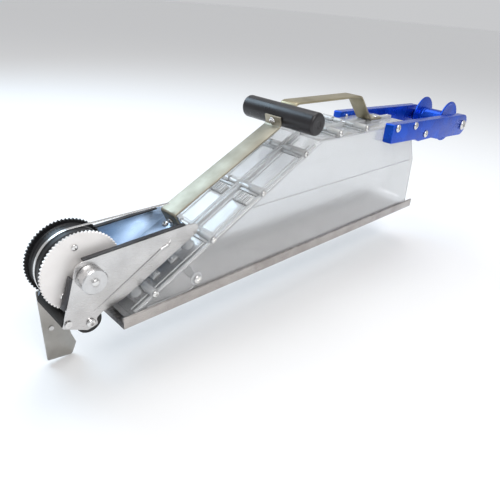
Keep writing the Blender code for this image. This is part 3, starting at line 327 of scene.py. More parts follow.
def bent_path(corners, steps=6):
    """Open path from (x, z, radius) corners, as arcs and straight runs."""
    points = [np.array(corners[0][:2])[None]]
    for i in range(1, len(corners) - 1):
        here = np.array(corners[i][:2])
        before = np.array(corners[i - 1][:2]) - here
        after = np.array(corners[i + 1][:2]) - here
        points.append(corner_arc(here, before, after, corners[i][2], steps))
    points.append(np.array(corners[-1][:2])[None])
    return np.concatenate(points)


def outward(outline, closed=True):
    """Unit normals on the right-hand side of a path in (x, z)."""
    step_in = outline - np.roll(outline, 1, axis=0)
    step_out = np.roll(outline, -1, axis=0) - outline
    if not closed:
        step_in[0] = step_out[0]
        step_out[-1] = step_in[-1]
    step_in /= np.linalg.norm(step_in, axis=1)[:, None] + 1e-12
    step_out /= np.linalg.norm(step_out, axis=1)[:, None] + 1e-12
    side_in = np.stack((step_in[:, 1], -step_in[:, 0]), axis=1)
    side_out = np.stack((step_out[:, 1], -step_out[:, 0]), axis=1)
    middle = side_in + side_out
    middle /= np.linalg.norm(middle, axis=1)[:, None] + 1e-12
    return middle / np.maximum((middle * side_in).sum(axis=1), 0.35)[:, None]


def plate(outline, y_from, y_to, edge=0.0004):
    """Anticlockwise outline in (x, z) through a thickness in Y, with quarter-round edges and flat caps."""
    out = outward(outline)
    low, high = min(y_from, y_to), max(y_from, y_to)
    turn = np.radians((0, 30, 60, 90))
    inset = np.concatenate((edge * (1 - np.sin(turn)), edge * (1 - np.cos(turn))))
    ys = np.concatenate((low + edge * (1 - np.cos(turn)), high - edge * (1 - np.sin(turn))))
    rim = outline[None] - out[None] * inset[:, None, None]
    count = len(outline)
    points = np.stack((rim[..., 0], np.broadcast_to(ys[:, None], rim.shape[:2]), rim[..., 1]), axis=-1)
    faces = [tuple(f) for f in grid_faces(len(ys), count, wrap=True)]
    faces.append(tuple(range(count)))
    faces.append(tuple(range((len(ys) - 1) * count, len(ys) * count)))
    return points, faces


def strap(path, width, sheet, edge=0.0006, middle_y=0.0):
    """Rounded rectangle of width by sheet carried along a path in (x, z), sheet on its right side."""
    out = outward(path, closed=False)
    corner = np.radians(np.arange(0, 91, 30))
    arc = np.stack((np.cos(corner), np.sin(corner)), axis=1) * edge
    half = width / 2 - edge
    quarters = (((half, sheet - edge), 0), ((-half, sheet - edge), 90), ((-half, edge), 180),
                ((half, edge), 270))
    section = []
    for (y, n), turn in quarters:
        c, s = math.cos(math.radians(turn)), math.sin(math.radians(turn))
        section.append(np.array((y, n)) + arc @ np.array(((c, s), (-s, c))))
    section = np.concatenate(section)
    count = len(section)
    flat = path[:, None, :] + out[:, None, :] * section[None, :, 1:]
    points = np.stack((flat[..., 0], middle_y + np.broadcast_to(section[None, :, 0], flat.shape[:2]),
                       flat[..., 1]), axis=-1)
    faces = [tuple(f) for f in grid_faces(len(path), count, wrap=True)]
    faces.append(tuple(range(count)))
    faces.append(tuple(range((len(path) - 1) * count, len(path) * count)))
    return points, faces


def walled(outer, inner, keep):
    """Shell between two grids of one shape: kept quads on both, and a rim wherever a kept quad ends."""
    rows, columns = outer.shape[:2]
    number = np.arange(rows * columns).reshape(rows, columns)
    total = rows * columns
    quads = np.stack((number[:-1, :-1], number[:-1, 1:], number[1:, 1:], number[1:, :-1]), axis=-1)
    kept = quads[keep]
    faces = [tuple(f) for f in kept] + [tuple(f[::-1] + total) for f in kept]
    padded = np.pad(keep, 1)
    for shift, (a, b) in (((-1, 0), (0, 1)), ((0, 1), (1, 2)), ((1, 0), (2, 3)), ((0, -1), (3, 0))):
        beside = padded[1 + shift[0]:rows + shift[0], 1 + shift[1]:columns + shift[1]]
        edge = quads[keep & ~beside]
        faces += [(f[b], f[a], f[a] + total, f[b] + total) for f in edge]
    return np.concatenate((outer.reshape(-1, 3), inner.reshape(-1, 3))), faces


# %% [markdown]
# ## Finishes
# Each finish is a node material on Object coordinates, so its grain has a real size in metres.
# Brushed steel is noise stretched along the brushing, cast and moulded plastics have a fine
# pebble, and the clear box has a slow ripple from the mould and a faint haze of handling.

# %% Finishes
def nodes_of(material):
    """Node tree, its shader and an Object texture coordinate."""
    tree = material.node_tree
    coordinate = tree.nodes.new("ShaderNodeTexCoord")
    return tree, tree.nodes["Principled BSDF"], coordinate.outputs["Object"]


def noise(tree, source, scale, detail=3.0, stretch=(1.0, 1.0, 1.0), turn=(0.0, 0.0, 0.0)):
    """Noise value on coordinates that are turned, then stretched."""
    turned_by = tree.nodes.new("ShaderNodeMapping")
    turned_by.inputs["Rotation"].default_value = turn
    mapping = tree.nodes.new("ShaderNodeMapping")
    mapping.inputs["Scale"].default_value = stretch
    texture = tree.nodes.new("ShaderNodeTexNoise")
    texture.inputs["Scale"].default_value = scale
    texture.inputs["Detail"].default_value = detail
    tree.links.new(source, turned_by.inputs["Vector"])
    tree.links.new(turned_by.outputs["Vector"], mapping.inputs["Vector"])
    tree.links.new(mapping.outputs["Vector"], texture.inputs["Vector"])
    return texture.outputs["Fac"]


def spread(tree, value, low, high):
    """A 0 to 1 value put in a range, with the middle of the noise stretched to fill it."""
    ranger = tree.nodes.new("ShaderNodeMapRange")
    ranger.inputs["From Min"].default_value = 0.3
    ranger.inputs["From Max"].default_value = 0.7
    ranger.inputs["To Min"].default_value = low
    ranger.inputs["To Max"].default_value = high
    tree.links.new(value, ranger.inputs["Value"])
    return ranger.outputs["Result"]


def two_colours(tree, value, dark, light):
    """Ramp between two colours."""
    ramp = tree.nodes.new("ShaderNodeValToRGB")
    ramp.color_ramp.elements[0].position = 0.34
    ramp.color_ramp.elements[0].color = (*dark, 1.0)
    ramp.color_ramp.elements[1].position = 0.66
    ramp.color_ramp.elements[1].color = (*light, 1.0)
    tree.links.new(value, ramp.inputs["Fac"])
    return ramp.outputs["Color"]


def raised(tree, shader, height, strength, distance):
    """Bump of a height in metres on the shader."""
    bump = tree.nodes.new("ShaderNodeBump")
    bump.inputs["Strength"].default_value = strength
    bump.inputs["Distance"].default_value = distance
    tree.links.new(height, bump.inputs["Height"])
    tree.links.new(bump.outputs["Normal"], shader.inputs["Normal"])


def brushed(name, dark, light, rough=(0.22, 0.42), grain=(0.04, 1.0, 1.0), turn=0.0, bump=0.25,
            metallic=1.0):
    """Metal with fine lines along its X after a turn about Y, slow stains, and lines in its gloss."""
    made = plain(name, light, rough[0], metallic)
    tree, shader, source = nodes_of(made)
    lines = noise(tree, source, 2600.0, 2.0, grain, (0.0, turn, 0.0))
    stains = noise(tree, source, 28.0, 3.0)
    tree.links.new(two_colours(tree, stains, dark, light), shader.inputs["Base Color"])
    tree.links.new(spread(tree, lines, *rough), shader.inputs["Roughness"])
    raised(tree, shader, lines, bump, 0.00004)
    return made


def moulded(name, dark, light, rough=(0.4, 0.6), pebble=900.0, bump=0.3, metallic=0.0, shine=0.5):
    """Plastic or rubber with a fine pebble and slow variation in colour and gloss."""
    made = plain(name, light, rough[0], metallic)
    tree, shader, source = nodes_of(made)
    shader.inputs["Specular IOR Level"].default_value = shine
    slow = noise(tree, source, 35.0, 3.0)
    fine = noise(tree, source, pebble, 2.0)
    tree.links.new(two_colours(tree, slow, dark, light), shader.inputs["Base Color"])
    tree.links.new(spread(tree, slow, *rough), shader.inputs["Roughness"])
    raised(tree, shader, fine, bump, 0.00008)
    return made


def clear_plastic(name, tint=(0.93, 0.945, 0.95), rough=(0.10, 0.20), through=0.93):
    """Thick clear plastic: light goes through it, with a slow ripple and a haze in its gloss."""
    made = plain(name, tint, rough[0])
    tree, shader, source = nodes_of(made)
    shader.inputs["IOR"].default_value = 1.585
    shader.inputs["Transmission Weight"].default_value = through
    ripple = noise(tree, source, 22.0, 2.0, (0.5, 1.0, 1.4))
    haze = noise(tree, source, 60.0, 4.0)
    tree.links.new(spread(tree, haze, *rough), shader.inputs["Roughness"])
    raised(tree, shader, ripple, 0.35, 0.0009)
    return made


CLEAR_WALL = clear_plastic("clear_wall", (0.96, 0.965, 0.97), (0.10, 0.20), 0.82)
CLEAR_RIB = clear_plastic("clear_rib", (0.97, 0.98, 0.985), (0.08, 0.16), 0.6)
STAINLESS = brushed("stainless", (0.51, 0.50, 0.495), (0.63, 0.62, 0.615), (0.20, 0.32))
ZINC = brushed("zinc", (0.44, 0.55, 0.70), (0.60, 0.69, 0.80), (0.26, 0.40))
DARK_STEEL = brushed("dark_steel", (0.05, 0.05, 0.055), (0.10, 0.10, 0.105), (0.36, 0.5))
TRAY_STEEL = brushed("tray_steel", (0.37, 0.34, 0.325), (0.48, 0.45, 0.43), (0.22, 0.34))
BLADE_STEEL = brushed("blade_steel", (0.36, 0.345, 0.32), (0.46, 0.445, 0.42), (0.34, 0.50),
                      (1.0, 1.0, 0.05))
STRAP_STEEL = brushed("strap_steel", (0.27, 0.245, 0.19), (0.38, 0.35, 0.28), (0.32, 0.50),
                      turn=SLOPE_ANGLE)
HANDLE_STEEL = brushed("handle_steel", (0.30, 0.26, 0.17), (0.43, 0.38, 0.26), (0.32, 0.50))
DISC_METAL = brushed("disc_metal", (0.80, 0.765, 0.745), (0.88, 0.85, 0.83), (0.42, 0.60), (1.0, 1.0, 1.0),
                     bump=0.3,
                     metallic=0.45)
ALUMINIUM = brushed("turned_aluminium", (0.52, 0.515, 0.515), (0.66, 0.655, 0.655), (0.20, 0.36),
                    (1.0, 0.05, 1.0))
SCREW_STEEL = brushed("screw_steel", (0.62, 0.61, 0.60), (0.76, 0.75, 0.74), (0.12, 0.24), (1.0, 1.0, 1.0),
                      bump=0.1)
# The far toothed disc is the same aluminium disc as the near one; its near-black colour here is painted
# shade, for the shade it lies in.
FAR_DISC_PAINTED_SHADE = moulded("disc_metal_painted_shade", (0.005, 0.005, 0.006), (0.012, 0.012, 0.013), (0.30, 0.44), shine=0.3)
BLACK_PLASTIC = moulded("drum_plastic", (0.005, 0.005, 0.006), (0.013, 0.013, 0.014), (0.28, 0.44),
                        shine=0.35)
RUBBER = moulded("rubber", (0.012, 0.012, 0.012), (0.026, 0.025, 0.024), (0.62, 0.8), 700.0, 0.6)
GRIP_PLASTIC = moulded("grip_plastic", (0.008, 0.007, 0.009), (0.014, 0.012, 0.014), (0.26, 0.38), 1100.0,
                       0.2)
BLUE = moulded("blue_anodised", (0.004, 0.055, 0.45), (0.004, 0.085, 0.62), (0.20, 0.32), 1500.0, 0.25,
               metallic=0.7)

# %% [markdown]
# ## The clear box
# Each half is one moulding: a wall, a fillet and half of the sloping face, the top and the rear.
# Seen from the side the roof line is a path, so the half is a cross-section carried along that
# path. At each step the section runs out from the seam, round the fillet and straight down to the
# foot. A second grid one wall thickness inside gives the moulding its thickness, and quads left out
# of both grids are its nose and its tape slot.

# %% Roof line
WALL = 0.003
FOOT_BASE = 0.0018
FILLET = 0.0045
BOX_TOP = 0.182
NOSE_EDGE = 0.008
SLOT_HALF = 0.029
SLOT_LOW, SLOT_HIGH = 0.016, 0.024
box_low, box_high = span("box_half_far")
HALF_BOX = float(span("yoke_arm_far")[0][1]) - CLEAR
SEAM = float(box_low[1])


def slope_height(back):
    """Height of the sloping face, measured back from the tray's front edge."""
    foot = (FRONT + back - screw_low[0]) * ALONG[2] / ALONG[0] + screw_low[2]
    return foot - 0.002 / math.cos(SLOPE_ANGLE)


def on_slope(back, lift=0.0):
    """(x, z) of a point a height off the sloping face."""
    return np.array((FRONT + back + NORMAL[0] * lift, slope_height(back) + NORMAL[2] * lift))


TOP_START = float(np.interp(BOX_TOP, (slope_height(0.3), slope_height(0.4)), (0.3, 0.4)))
ROOF = [(FRONT + 0.003, slope_height(0.003), 0), (FRONT + TOP_START, BOX_TOP, 0.012),
        (FRONT + 0.607, BOX_TOP, 0.010), (FRONT + 0.650, 0.107, 0.006),
        (FRONT + 0.662, SLOT_HIGH - 0.008, 0.0),
        (FRONT + 0.662, FOOT_BASE, 0)]


def resampled(path, extra_x, extra_z):
    """Path with more points at chosen x on its front half and chosen z on its rear end."""
    length = np.concatenate(([0.0], np.cumsum(np.linalg.norm(np.diff(path, axis=0), axis=1))))
    rear = path[:, 0] >= FRONT + 0.640
    at_x = np.interp(extra_x, path[~rear, 0], length[~rear])
    at_z = np.interp(-np.asarray(extra_z), -path[rear, 1], length[rear])
    s = np.unique(np.round(np.concatenate((length, at_x, at_z)), 7))
    return np.stack((np.interp(s, length, path[:, 0]), np.interp(s, length, path[:, 1])), axis=1)


roof = resampled(bent_path(ROOF), FRONT + np.concatenate(([NOSE_EDGE], np.linspace(0.03, 0.6, 30))),
                 (0.06, SLOT_HIGH, SLOT_LOW))
roof_out = -outward(roof, closed=False)
roof_out /= np.linalg.norm(roof_out, axis=1)[:, None]
print("roof line points:", len(roof))


def half_section(side, depth):
    """Grid over the roof line and across: seam to fillet, round it, then down to the foot."""
    flat_y = np.array((SEAM, 0.010, 0.020, SLOT_HALF, HALF_BOX - FILLET))
    turn = np.radians(np.arange(15, 91, 15))
    radius = FILLET - depth
    lean = np.concatenate((np.ones(len(flat_y)), np.cos(turn)))
    y = np.concatenate((flat_y, HALF_BOX - FILLET + radius * np.sin(turn)))
    hinge = roof - roof_out * FILLET
    rows = hinge[:, None, :] + roof_out[:, None, :] * (radius * lean)[None, :, None]
    down = np.linspace(0.0, 1.0, 7)[1:]
    last = rows[:, -1, :]
    wall_z = last[:, 1:] + (FOOT_BASE - last[:, 1:]) * down[None, :]
    wall_z = np.minimum(wall_z, last[:, 1:])
    x = np.concatenate((rows[..., 0], np.repeat(last[:, :1], len(down), axis=1)), axis=1)
    z = np.concatenate((rows[..., 1], wall_z), axis=1)
    y = np.concatenate((y, np.full(len(down), HALF_BOX - depth)))
    return np.stack((x, np.broadcast_to(side * y[None, :], x.shape), z), axis=-1)


def half_shell(side):
    """One moulded half with its nose and tape slot left open."""
    outer, inner = half_section(side, 0.0), half_section(side, WALL)
    inner[..., 2] = np.maximum(inner[..., 2], FOOT_BASE)
    outer[..., 2] = np.maximum(outer[..., 2], FOOT_BASE)
    keep = np.ones((len(roof) - 1, outer.shape[1] - 1), bool)
    middle = (roof[:-1] + roof[1:]) / 2
    nose = middle[:, 0] < FRONT + NOSE_EDGE
    slot = (middle[:, 1] < SLOT_HIGH) & (middle[:, 1] > SLOT_LOW) & (middle[:, 0] > FRONT + 0.6)
    keep[nose, :5] = False
    keep[slot, :3] = False
    return walled(outer, inner, keep)


# %% [markdown]
# ### What is moulded onto each half
# The seam and the outer edge of the slope stand up as ribs. Every cross screw has a fat barrel at
# the wall and a slimmer sleeve from there to the seam, on a low pad. Four posts carry the head, a
# ribbed pad sits beside the third screw, and a boss and a raised line surround the gate screw.

# %% Ribs, barrels, posts and pads
def rod(start, end, radius, sides=20, edge=0.0008):
    """Cylinder with softened ends between two points."""
    start, end = np.asarray(start, float), np.asarray(end, float)
    length = np.linalg.norm(end - start)
    return lathe(((0, length), (radius, length), (radius, 0), (0, 0)), start, end - start, sides, edge)


def across(side, inner, outer):
    """Y values on one side of the tool."""
    return side * inner, side * outer


def slope_bar(back_from, back_to, low, high, side, inner, outer, edge=0.0007):
    """Rounded bar along the sloping face, between two lifts and two distances from the middle."""
    corners = [(*on_slope(back_from, low), 0), (*on_slope(back_to, low), 0),
               (*on_slope(back_to, high), 0.001), (*on_slope(back_from, high), 0.001)]
    return plate(arc_corners(corners, 3), *across(side, inner, outer), edge)


def cross_screws():
    """Centre (x, z) of every cross screw, from its solid."""
    ends = [span(f"shell_screw_{i}") for i in range(1, 7)]
    return [((low + high) / 2)[[0, 2]] for low, high in ends]


def box_ribs(side):
    """Seam flange, outer edge rib, top flange and the raised line along the wall."""
    shapes = [slope_bar(0.014, TOP_START - 0.001, -0.001, 0.005, side, SEAM, 0.0048),
              slope_bar(0.018, TOP_START - 0.012, -0.001, 0.0016, side, HALF_BOX - 0.005,
                        HALF_BOX - 0.0008),
              slope_bar(0.018, TOP_START - 0.016, -0.001, 0.0011, side, HALF_BOX - 0.0115,
                        HALF_BOX - 0.0095),
              slope_bar(0.018, TOP_START - 0.010, -0.001, 0.0010, side, 0.0088, 0.0104)]
    flange = arc_corners([(FRONT + TOP_START + 0.001, BOX_TOP - 0.001, 0),
                          (FRONT + 0.603, BOX_TOP - 0.001, 0),
                          (FRONT + 0.603, BOX_TOP + 0.005, 0.002),
                          (FRONT + TOP_START + 0.001, BOX_TOP + 0.005, 0.002)])
    shapes.append(plate(flange, *across(side, SEAM, 0.0048), 0.0006))
    crease_start = np.interp(0.107, (slope_height(0.2), slope_height(0.3)), (0.2, 0.3)) + 0.006
    crease = [place_at(crease_start, side * HALF_BOX, 0.107), place_at(0.632, side * HALF_BOX, 0.107)]
    shapes.append(rod(crease[0], crease[1], 0.0009, 10, 0.0004))
    lower = [place_at(0.012, side * HALF_BOX, 0.0125), place_at(0.655, side * HALF_BOX, 0.0125)]
    shapes.append(rod(lower[0], lower[1], 0.0008, 10, 0.0004))
    return together(*shapes)


def box_barrels(side):
    """Barrel and sleeve of every cross screw, on a low pad across the half."""
    shapes = []
    for x, z in cross_screws():
        for outer, inner, radius in ((HALF_BOX - 0.0008, 0.0225, 0.0055), (0.0205, 0.0045, 0.0045),
                                     (0.0228, 0.0202, 0.0034)):
            shapes.append(rod((x, side * outer, z), (x, side * inner, z), radius, 28, 0.0008))
    for back in (0.137, 0.224, 0.306):
        shapes.append(slope_bar(back - 0.008, back + 0.008, -0.001, 0.0022, side, 0.0050, HALF_BOX - 0.006))
    for back in (0.384, 0.456):
        corners = [(FRONT + back - 0.009, BOX_TOP - 0.001, 0), (FRONT + back + 0.009, BOX_TOP - 0.001, 0),
                   (FRONT + back + 0.009, BOX_TOP + 0.0024, 0.001),
                   (FRONT + back - 0.009, BOX_TOP + 0.0024, 0.001)]
        shapes.append(plate(arc_corners(corners, 3), *across(side, 0.005, HALF_BOX - 0.006), 0.0006))
    return together(*shapes)


def box_fittings(side):
    """Head posts, clips, the ribbed pad, the handle's pad, the gate boss, its raised line and the foot."""
    shapes = []
    for back in (0.036, 0.116):
        base, top = on_slope(back, -0.001), on_slope(back, 0.0192)
        points = ((0, 0.0202), (0.0058, 0.0202), (0.0072, 0.003), (0.0095, 0.0), (0, 0.0))
        shapes.append(lathe(points, (base[0], side * 0.018, base[1]),
                            (top[0] - base[0], 0, top[1] - base[1]), 28))
    for back in (0.064, 0.091):
        shapes.append(slope_bar(back - 0.0055, back + 0.0055, -0.001, 0.0032, side, 0.013, 0.024, 0.0010))
        shapes.append(slope_bar(back - 0.0025, back + 0.0025, 0.003, 0.0055, side, 0.0145, 0.0225, 0.0008))
    shapes.append(slope_bar(0.198, 0.2125, -0.001, 0.0035, side, 0.012, 0.0415, 0.0008))
    for k in range(6):
        y = 0.0145 + 0.0048 * k
        shapes.append(slope_bar(0.1975, 0.213, 0.002, 0.0062, side, y, y + 0.0024, 0.0009))
    pad = arc_corners([(FRONT + 0.517, BOX_TOP - 0.001, 0), (FRONT + 0.550, BOX_TOP - 0.001, 0),
                       (FRONT + 0.550, BOX_TOP + 0.0048, 0.002), (FRONT + 0.517, BOX_TOP + 0.0048, 0.002)])
    shapes.append(plate(pad, *across(side, 0.0045, 0.015), 0.0006))
    gate, _, _ = round_across("gate_screw_near")
    boss = (gate[0], side * (HALF_BOX - 0.001), gate[2])
    shapes.append(lathe(((0, 0.0025), (0.0068, 0.0025), (0.0068, 0.0015), (0.0095, 0.0010), (0.0095, 0.0),
                         (0, 0.0)),
                        boss, (0, side, 0), 36, 0.0004))
    line = [place_at(0.034, 0, 0.0160)[[0, 2]], place_at(0.098, 0, 0.0160)[[0, 2]],
            place_at(0.106, 0, 0.0195)[[0, 2]]]
    for a, b in zip(line[:-1], line[1:]):
        shapes.append(rod((a[0], side * HALF_BOX, a[1]), (b[0], side * HALF_BOX, b[1]), 0.0009, 10, 0.0004))
    foot = arc_corners([(FRONT + 0.0035, FOOT_BASE, 0.0006), (FRONT + 0.6615, FOOT_BASE, 0.0006),
                        (FRONT + 0.6615, 0.0092, 0.0006), (FRONT + 0.0035, 0.0092, 0.0006)], 3)
    shapes.append(plate(foot, *across(side, HALF_BOX - 0.0010, float(box_high[1]) - 0.0001), 0.0006))
    return together(*shapes)


for label, side in SIDES.items():
    half = f"box_half_{label}"
    piece(f"box_shell_{label}", half_shell(side), CLEAR_WALL, "body", (half,), 40)
    piece(f"box_ribs_{label}", box_ribs(side), CLEAR_RIB, "body", (half,))
    piece(f"box_barrels_{label}", box_barrels(side), CLEAR_RIB, "body", (half,))
    piece(f"box_fittings_{label}", box_fittings(side), CLEAR_RIB, "body", (half,))
print("box halves made")

# %% [markdown]
# ## Screws
# Every screw is read off its solid: the ring of points farthest out is the head, the innermost ring
# is the shank, and a wide ring at the far end is the nut. The visible head is a low dome with a hex
# socket, made by letting the ring radius follow a hexagon near the middle.

# %% Screw maker
def hexagon(sides, across_flats):
    """Radius of a hexagon at each of a number of angles."""
    t = np.arange(sides) * math.tau / sides
    return across_flats / 2 / np.cos((t + math.pi / 6) % (math.pi / 3) - math.pi / 6)


def read_screw(node, axis):
    """Centre line, seat, top, end and the radii of a screw's solid."""
    u, v, w = axis_frame(axis)
    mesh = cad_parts[node].data
    points = np.empty(len(mesh.vertices) * 3)
    mesh.vertices.foreach_get("co", points)
    points = points.reshape(-1, 3)
    flat = np.stack((points @ u, points @ v), axis=1)
    middle = (flat.max(axis=0) + flat.min(axis=0)) / 2
    off = np.linalg.norm(flat - middle, axis=1)
    along = points @ w
    shank = off[off > 0.0004].min()
    on_shank = np.abs(off - shank) < 0.0002
    line = u * middle[0] + v * middle[1]
    nut = off[along < along.min() + 1e-5].max()
    return {"line": line, "w": w, "top": along.max(), "end": along.min(), "seat": along[on_shank].max(),
            "nut": along[on_shank].min(), "shank": shank, "head": off.max(), "has_nut": nut > 1.3 * shank,
            "nut_radius": nut}


def screw_shape(node, axis, socket=0.52, sides=36, hex_nut=True):
    """Dome with a hex socket, shank and nut, in the place of a screw's solid."""
    s = read_screw(node, axis)
    height = s["top"] - s["seat"]
    hexed = hexagon(sides, socket * 1.5 * s["head"])
    head = np.full(sides, s["head"])
    rings = [(hexed * 0, -0.75 * height), (hexed * 0.96, -0.70 * height), (hexed, -0.10 * height),
             (hexed * 1.05, 0.0)]
    for step in (0.25, 0.5, 0.75, 0.92):
        share = math.sin(step * math.pi / 2)
        rings.append((hexed * 1.05 + (head - hexed * 1.05) * share,
                      -0.62 * height * (1 - math.cos(step * math.pi / 2))))
    rings += [(head, -0.68 * height), (head, -0.93 * height), (head * 0.96, -height)]
    shank = np.full(sides, s["shank"])
    last = s["nut"] if s["has_nut"] else s["end"]
    rings += [(shank, -height), (shank, last - s["top"] + 0.0004), (shank * 0.86, last - s["top"])]
    if s["has_nut"]:
        wide = hexagon(sides, 1.74 * s["nut_radius"]) if hex_nut else np.full(sides, s["nut_radius"])
        depth = s["end"] - s["top"]
        wide = np.minimum(wide, s["nut_radius"])
        rings += [(wide * 0.94, last - s["top"]), (wide, last - s["top"] - 0.0003), (wide, depth + 0.0003),
                  (wide * 0.94, depth)]
        rings.append((shank * 0, depth))
    else:
        rings.append((shank * 0, last - s["top"]))
    radii = np.array([r for r, h in rings])
    heights = np.array([h for r, h in rings])
    return turned(radii, heights, s["line"] + s["w"] * s["top"], axis, sides)


ACROSS_NEAR, ACROSS_FAR = (0, -1, 0), (0, 1, 0)
SCREWS = {f"shell_screw_{i}": ACROSS_NEAR for i in range(1, 7)}
SCREWS |= {"gate_screw_near": ACROSS_NEAR, "gate_screw_far": ACROSS_FAR, "idler_bolt": ACROSS_NEAR}
SCREWS |= {"cross_shaft": ACROSS_NEAR, "spool_axle": ACROSS_NEAR, "fin_rivet_1": ACROSS_FAR,
           "fin_rivet_2": ACROSS_FAR}
SCREWS |= {f"web_screw_{side}_{i}": tuple(NORMAL) for side in SIDES for i in (1, 2)}
SCREWS |= {f"handle_screw_{side}": (0, 0, 1) for side in SIDES}
SCREWS |= {f"yoke_bolt_near_{i}": ACROSS_NEAR for i in (1, 2, 3)}
SCREWS |= {f"yoke_bolt_far_{i}": ACROSS_FAR for i in (1, 2, 3)}
SCREWS |= {"strap_screw": tuple(-ALONG),
           "grip_bolt": (-math.cos(GRIP_TILT), 0, -math.sin(GRIP_TILT))}
for name, axis in SCREWS.items():
    piece(f"{name}_detail", screw_shape(name, axis), SCREW_STEEL, "body", (name,))
for i in (1, 2, 3):
    piece(f"disc_screw_{i}_detail", screw_shape(f"disc_screw_{i}", ACROSS_NEAR, 0.3), SCREW_STEEL,
          "tape_wheel",
          (f"disc_screw_{i}",))
print("screws made:", len(SCREWS) + 3)

# %% [markdown]
# ## The tape wheel
# Two toothed discs grip the tape's edges and a drum carries its middle. The teeth are a triangle
# wave on the disc's radius, carried through its thickness, with a small chamfer at each face.

# %% Wheel
wheel_centre = (span("wheel_axle")[0] + span("wheel_axle")[1]) / 2
TEETH = 68


def toothed_disc(node, side, rim_width, dish):
    """Disc of thickness rim_width with a toothed rim, a bore and a shallow dished outer face."""
    low, high = span(node)
    radius = (high[0] - low[0]) / 2
    outer = max(abs(low[1]), abs(high[1]))
    per_tooth = 6
    sides = TEETH * per_tooth
    phase = (np.arange(sides) % per_tooth) / per_tooth
    wave = np.abs(phase * 2 - 1)
    tip = radius - 0.0019 * (1 - wave)
    bore = np.full(sides, 0.0064)
    rings = [(bore, 0.0), (np.full(sides, 0.026), 0.0), (np.full(sides, radius - 0.0065), -dish),
             (np.full(sides, radius - 0.0045), -dish), (np.full(sides, radius - 0.0036), -0.0001),
             (tip - 0.0006, 0.0),
             (tip, -0.0005), (tip, -rim_width + 0.0004), (tip - 0.0005, -rim_width), (bore, -rim_width)]
    radii = np.array([r for r, h in rings])
    heights = np.array([h for r, h in rings])
    return turned(radii, heights, (wheel_centre[0], side * outer, wheel_centre[2]), (0, side, 0), sides,
                  ring=True)


def wheel_part(name, shape, material, slot, *nodes, smooth=32.0):
    """A piece that turns with the tape wheel."""
    return piece(name, shape, material, "tape_wheel", nodes, smooth)


near_disc = span("wheel_disc_near")
rim = float(near_disc[1][1] - near_disc[0][1])
wheel_part("wheel_disc_near_detail", toothed_disc("wheel_disc_near", -1.0, rim, 0.00015), DISC_METAL,
           "aluminium",
           "wheel_disc_near", smooth=25)
# Far disc: painted shade, near black, on a disc of the same aluminium as the near disc.
wheel_part("wheel_disc_far_detail", toothed_disc("wheel_disc_far", 1.0, rim, 0.0004), FAR_DISC_PAINTED_SHADE,
           "black_disc",
           "wheel_disc_far", smooth=25)

drum_centre, drum_radius, drum_half = round_across("wheel_drum")
groove = 0.0028
drum_profile = [(0.0064, drum_half), (drum_radius, drum_half), (drum_radius, 0.0145),
                (drum_radius - 0.0009, 0.0140),
                (drum_radius - 0.0009, 0.0095), (drum_radius, 0.0090), (drum_radius, groove),
                (drum_radius - 0.0010, groove - 0.0004), (drum_radius - 0.0010, -groove + 0.0004),
                (drum_radius, -groove), (drum_radius, -0.0090), (drum_radius - 0.0009, -0.0095),
                (drum_radius - 0.0009, -0.0140), (drum_radius, -0.0145), (drum_radius, -drum_half),
                (0.0064, -drum_half)]
wheel_part("wheel_drum_detail", ring_lathe(drum_profile, drum_centre, ACROSS_NEAR, 96, 0.0003),
           BLACK_PLASTIC, "drum",
           "wheel_drum")


def drilled_ring(node, side, grub_radius=0.0019):
    """Collar with a dark, shallow grub-screw recess: its outer wall dips inside a small circle."""
    centre, radius, half = round_across(node)
    sides, rows = 96, 33
    t = np.arange(sides) * math.tau / sides
    h = np.linspace(half - 0.0005, -half + 0.0005, rows)
    u, v, w = axis_frame((0, side, 0))
    view = math.atan2(np.dot((-0.88, 0, 0.48), v), np.dot((-0.88, 0, 0.48), u))
    away = np.abs((t - view + math.pi) % math.tau - math.pi) * radius
    hole = np.hypot(away[None, :], (h - h.mean())[:, None]) < grub_radius
    wall = np.where(hole, radius - 0.0022, radius)
    bore = np.full((1, sides), 0.0064)
    cap = np.full((1, sides), radius - 0.0005)
    radii = np.vstack((bore, cap, wall, cap, bore))
    heights = np.concatenate(([half, half], h, [-half, -half]))
    return turned(radii, heights, centre, (0, side, 0), sides, ring=True)


def knob_shape(node, side):
    """Capped knob with a grub recess in its wall, turned face rings and a chamfered rim."""
    centre, radius, half = round_across(node)
    sides = 96
    t = np.arange(sides) * math.tau / sides
    u, v, w = axis_frame((0, side, 0))
    view = math.atan2(np.dot((-0.94, 0, -0.10), v), np.dot((-0.94, 0, -0.10), u))
    away = np.abs((t - view + math.pi) % math.tau - math.pi) * radius
    h = np.linspace(half - 0.0012, -half + 0.0006, 30)
    hole = np.hypot(away[None, :], h[:, None] + 0.001) < 0.0020
    wall = np.where(hole, radius - 0.0024, radius)
    face = [(0.0, half), (0.0048, half), (0.0052, half - 0.0002), (0.0056, half), (radius - 0.0012, half)]
    radii = np.vstack([np.full((1, sides), r) for r, z in face] + [wall,
                                                                   np.full((1, sides), radius - 0.0006),
                      np.full((1, sides), 0.0064), np.full((1, sides), 0.0064), np.zeros((1, sides))])
    heights = np.concatenate(([z for r, z in face], h, [-half, -half, half - 0.0024, half - 0.0024]))
    return turned(radii, heights, centre, (0, side, 0), sides)


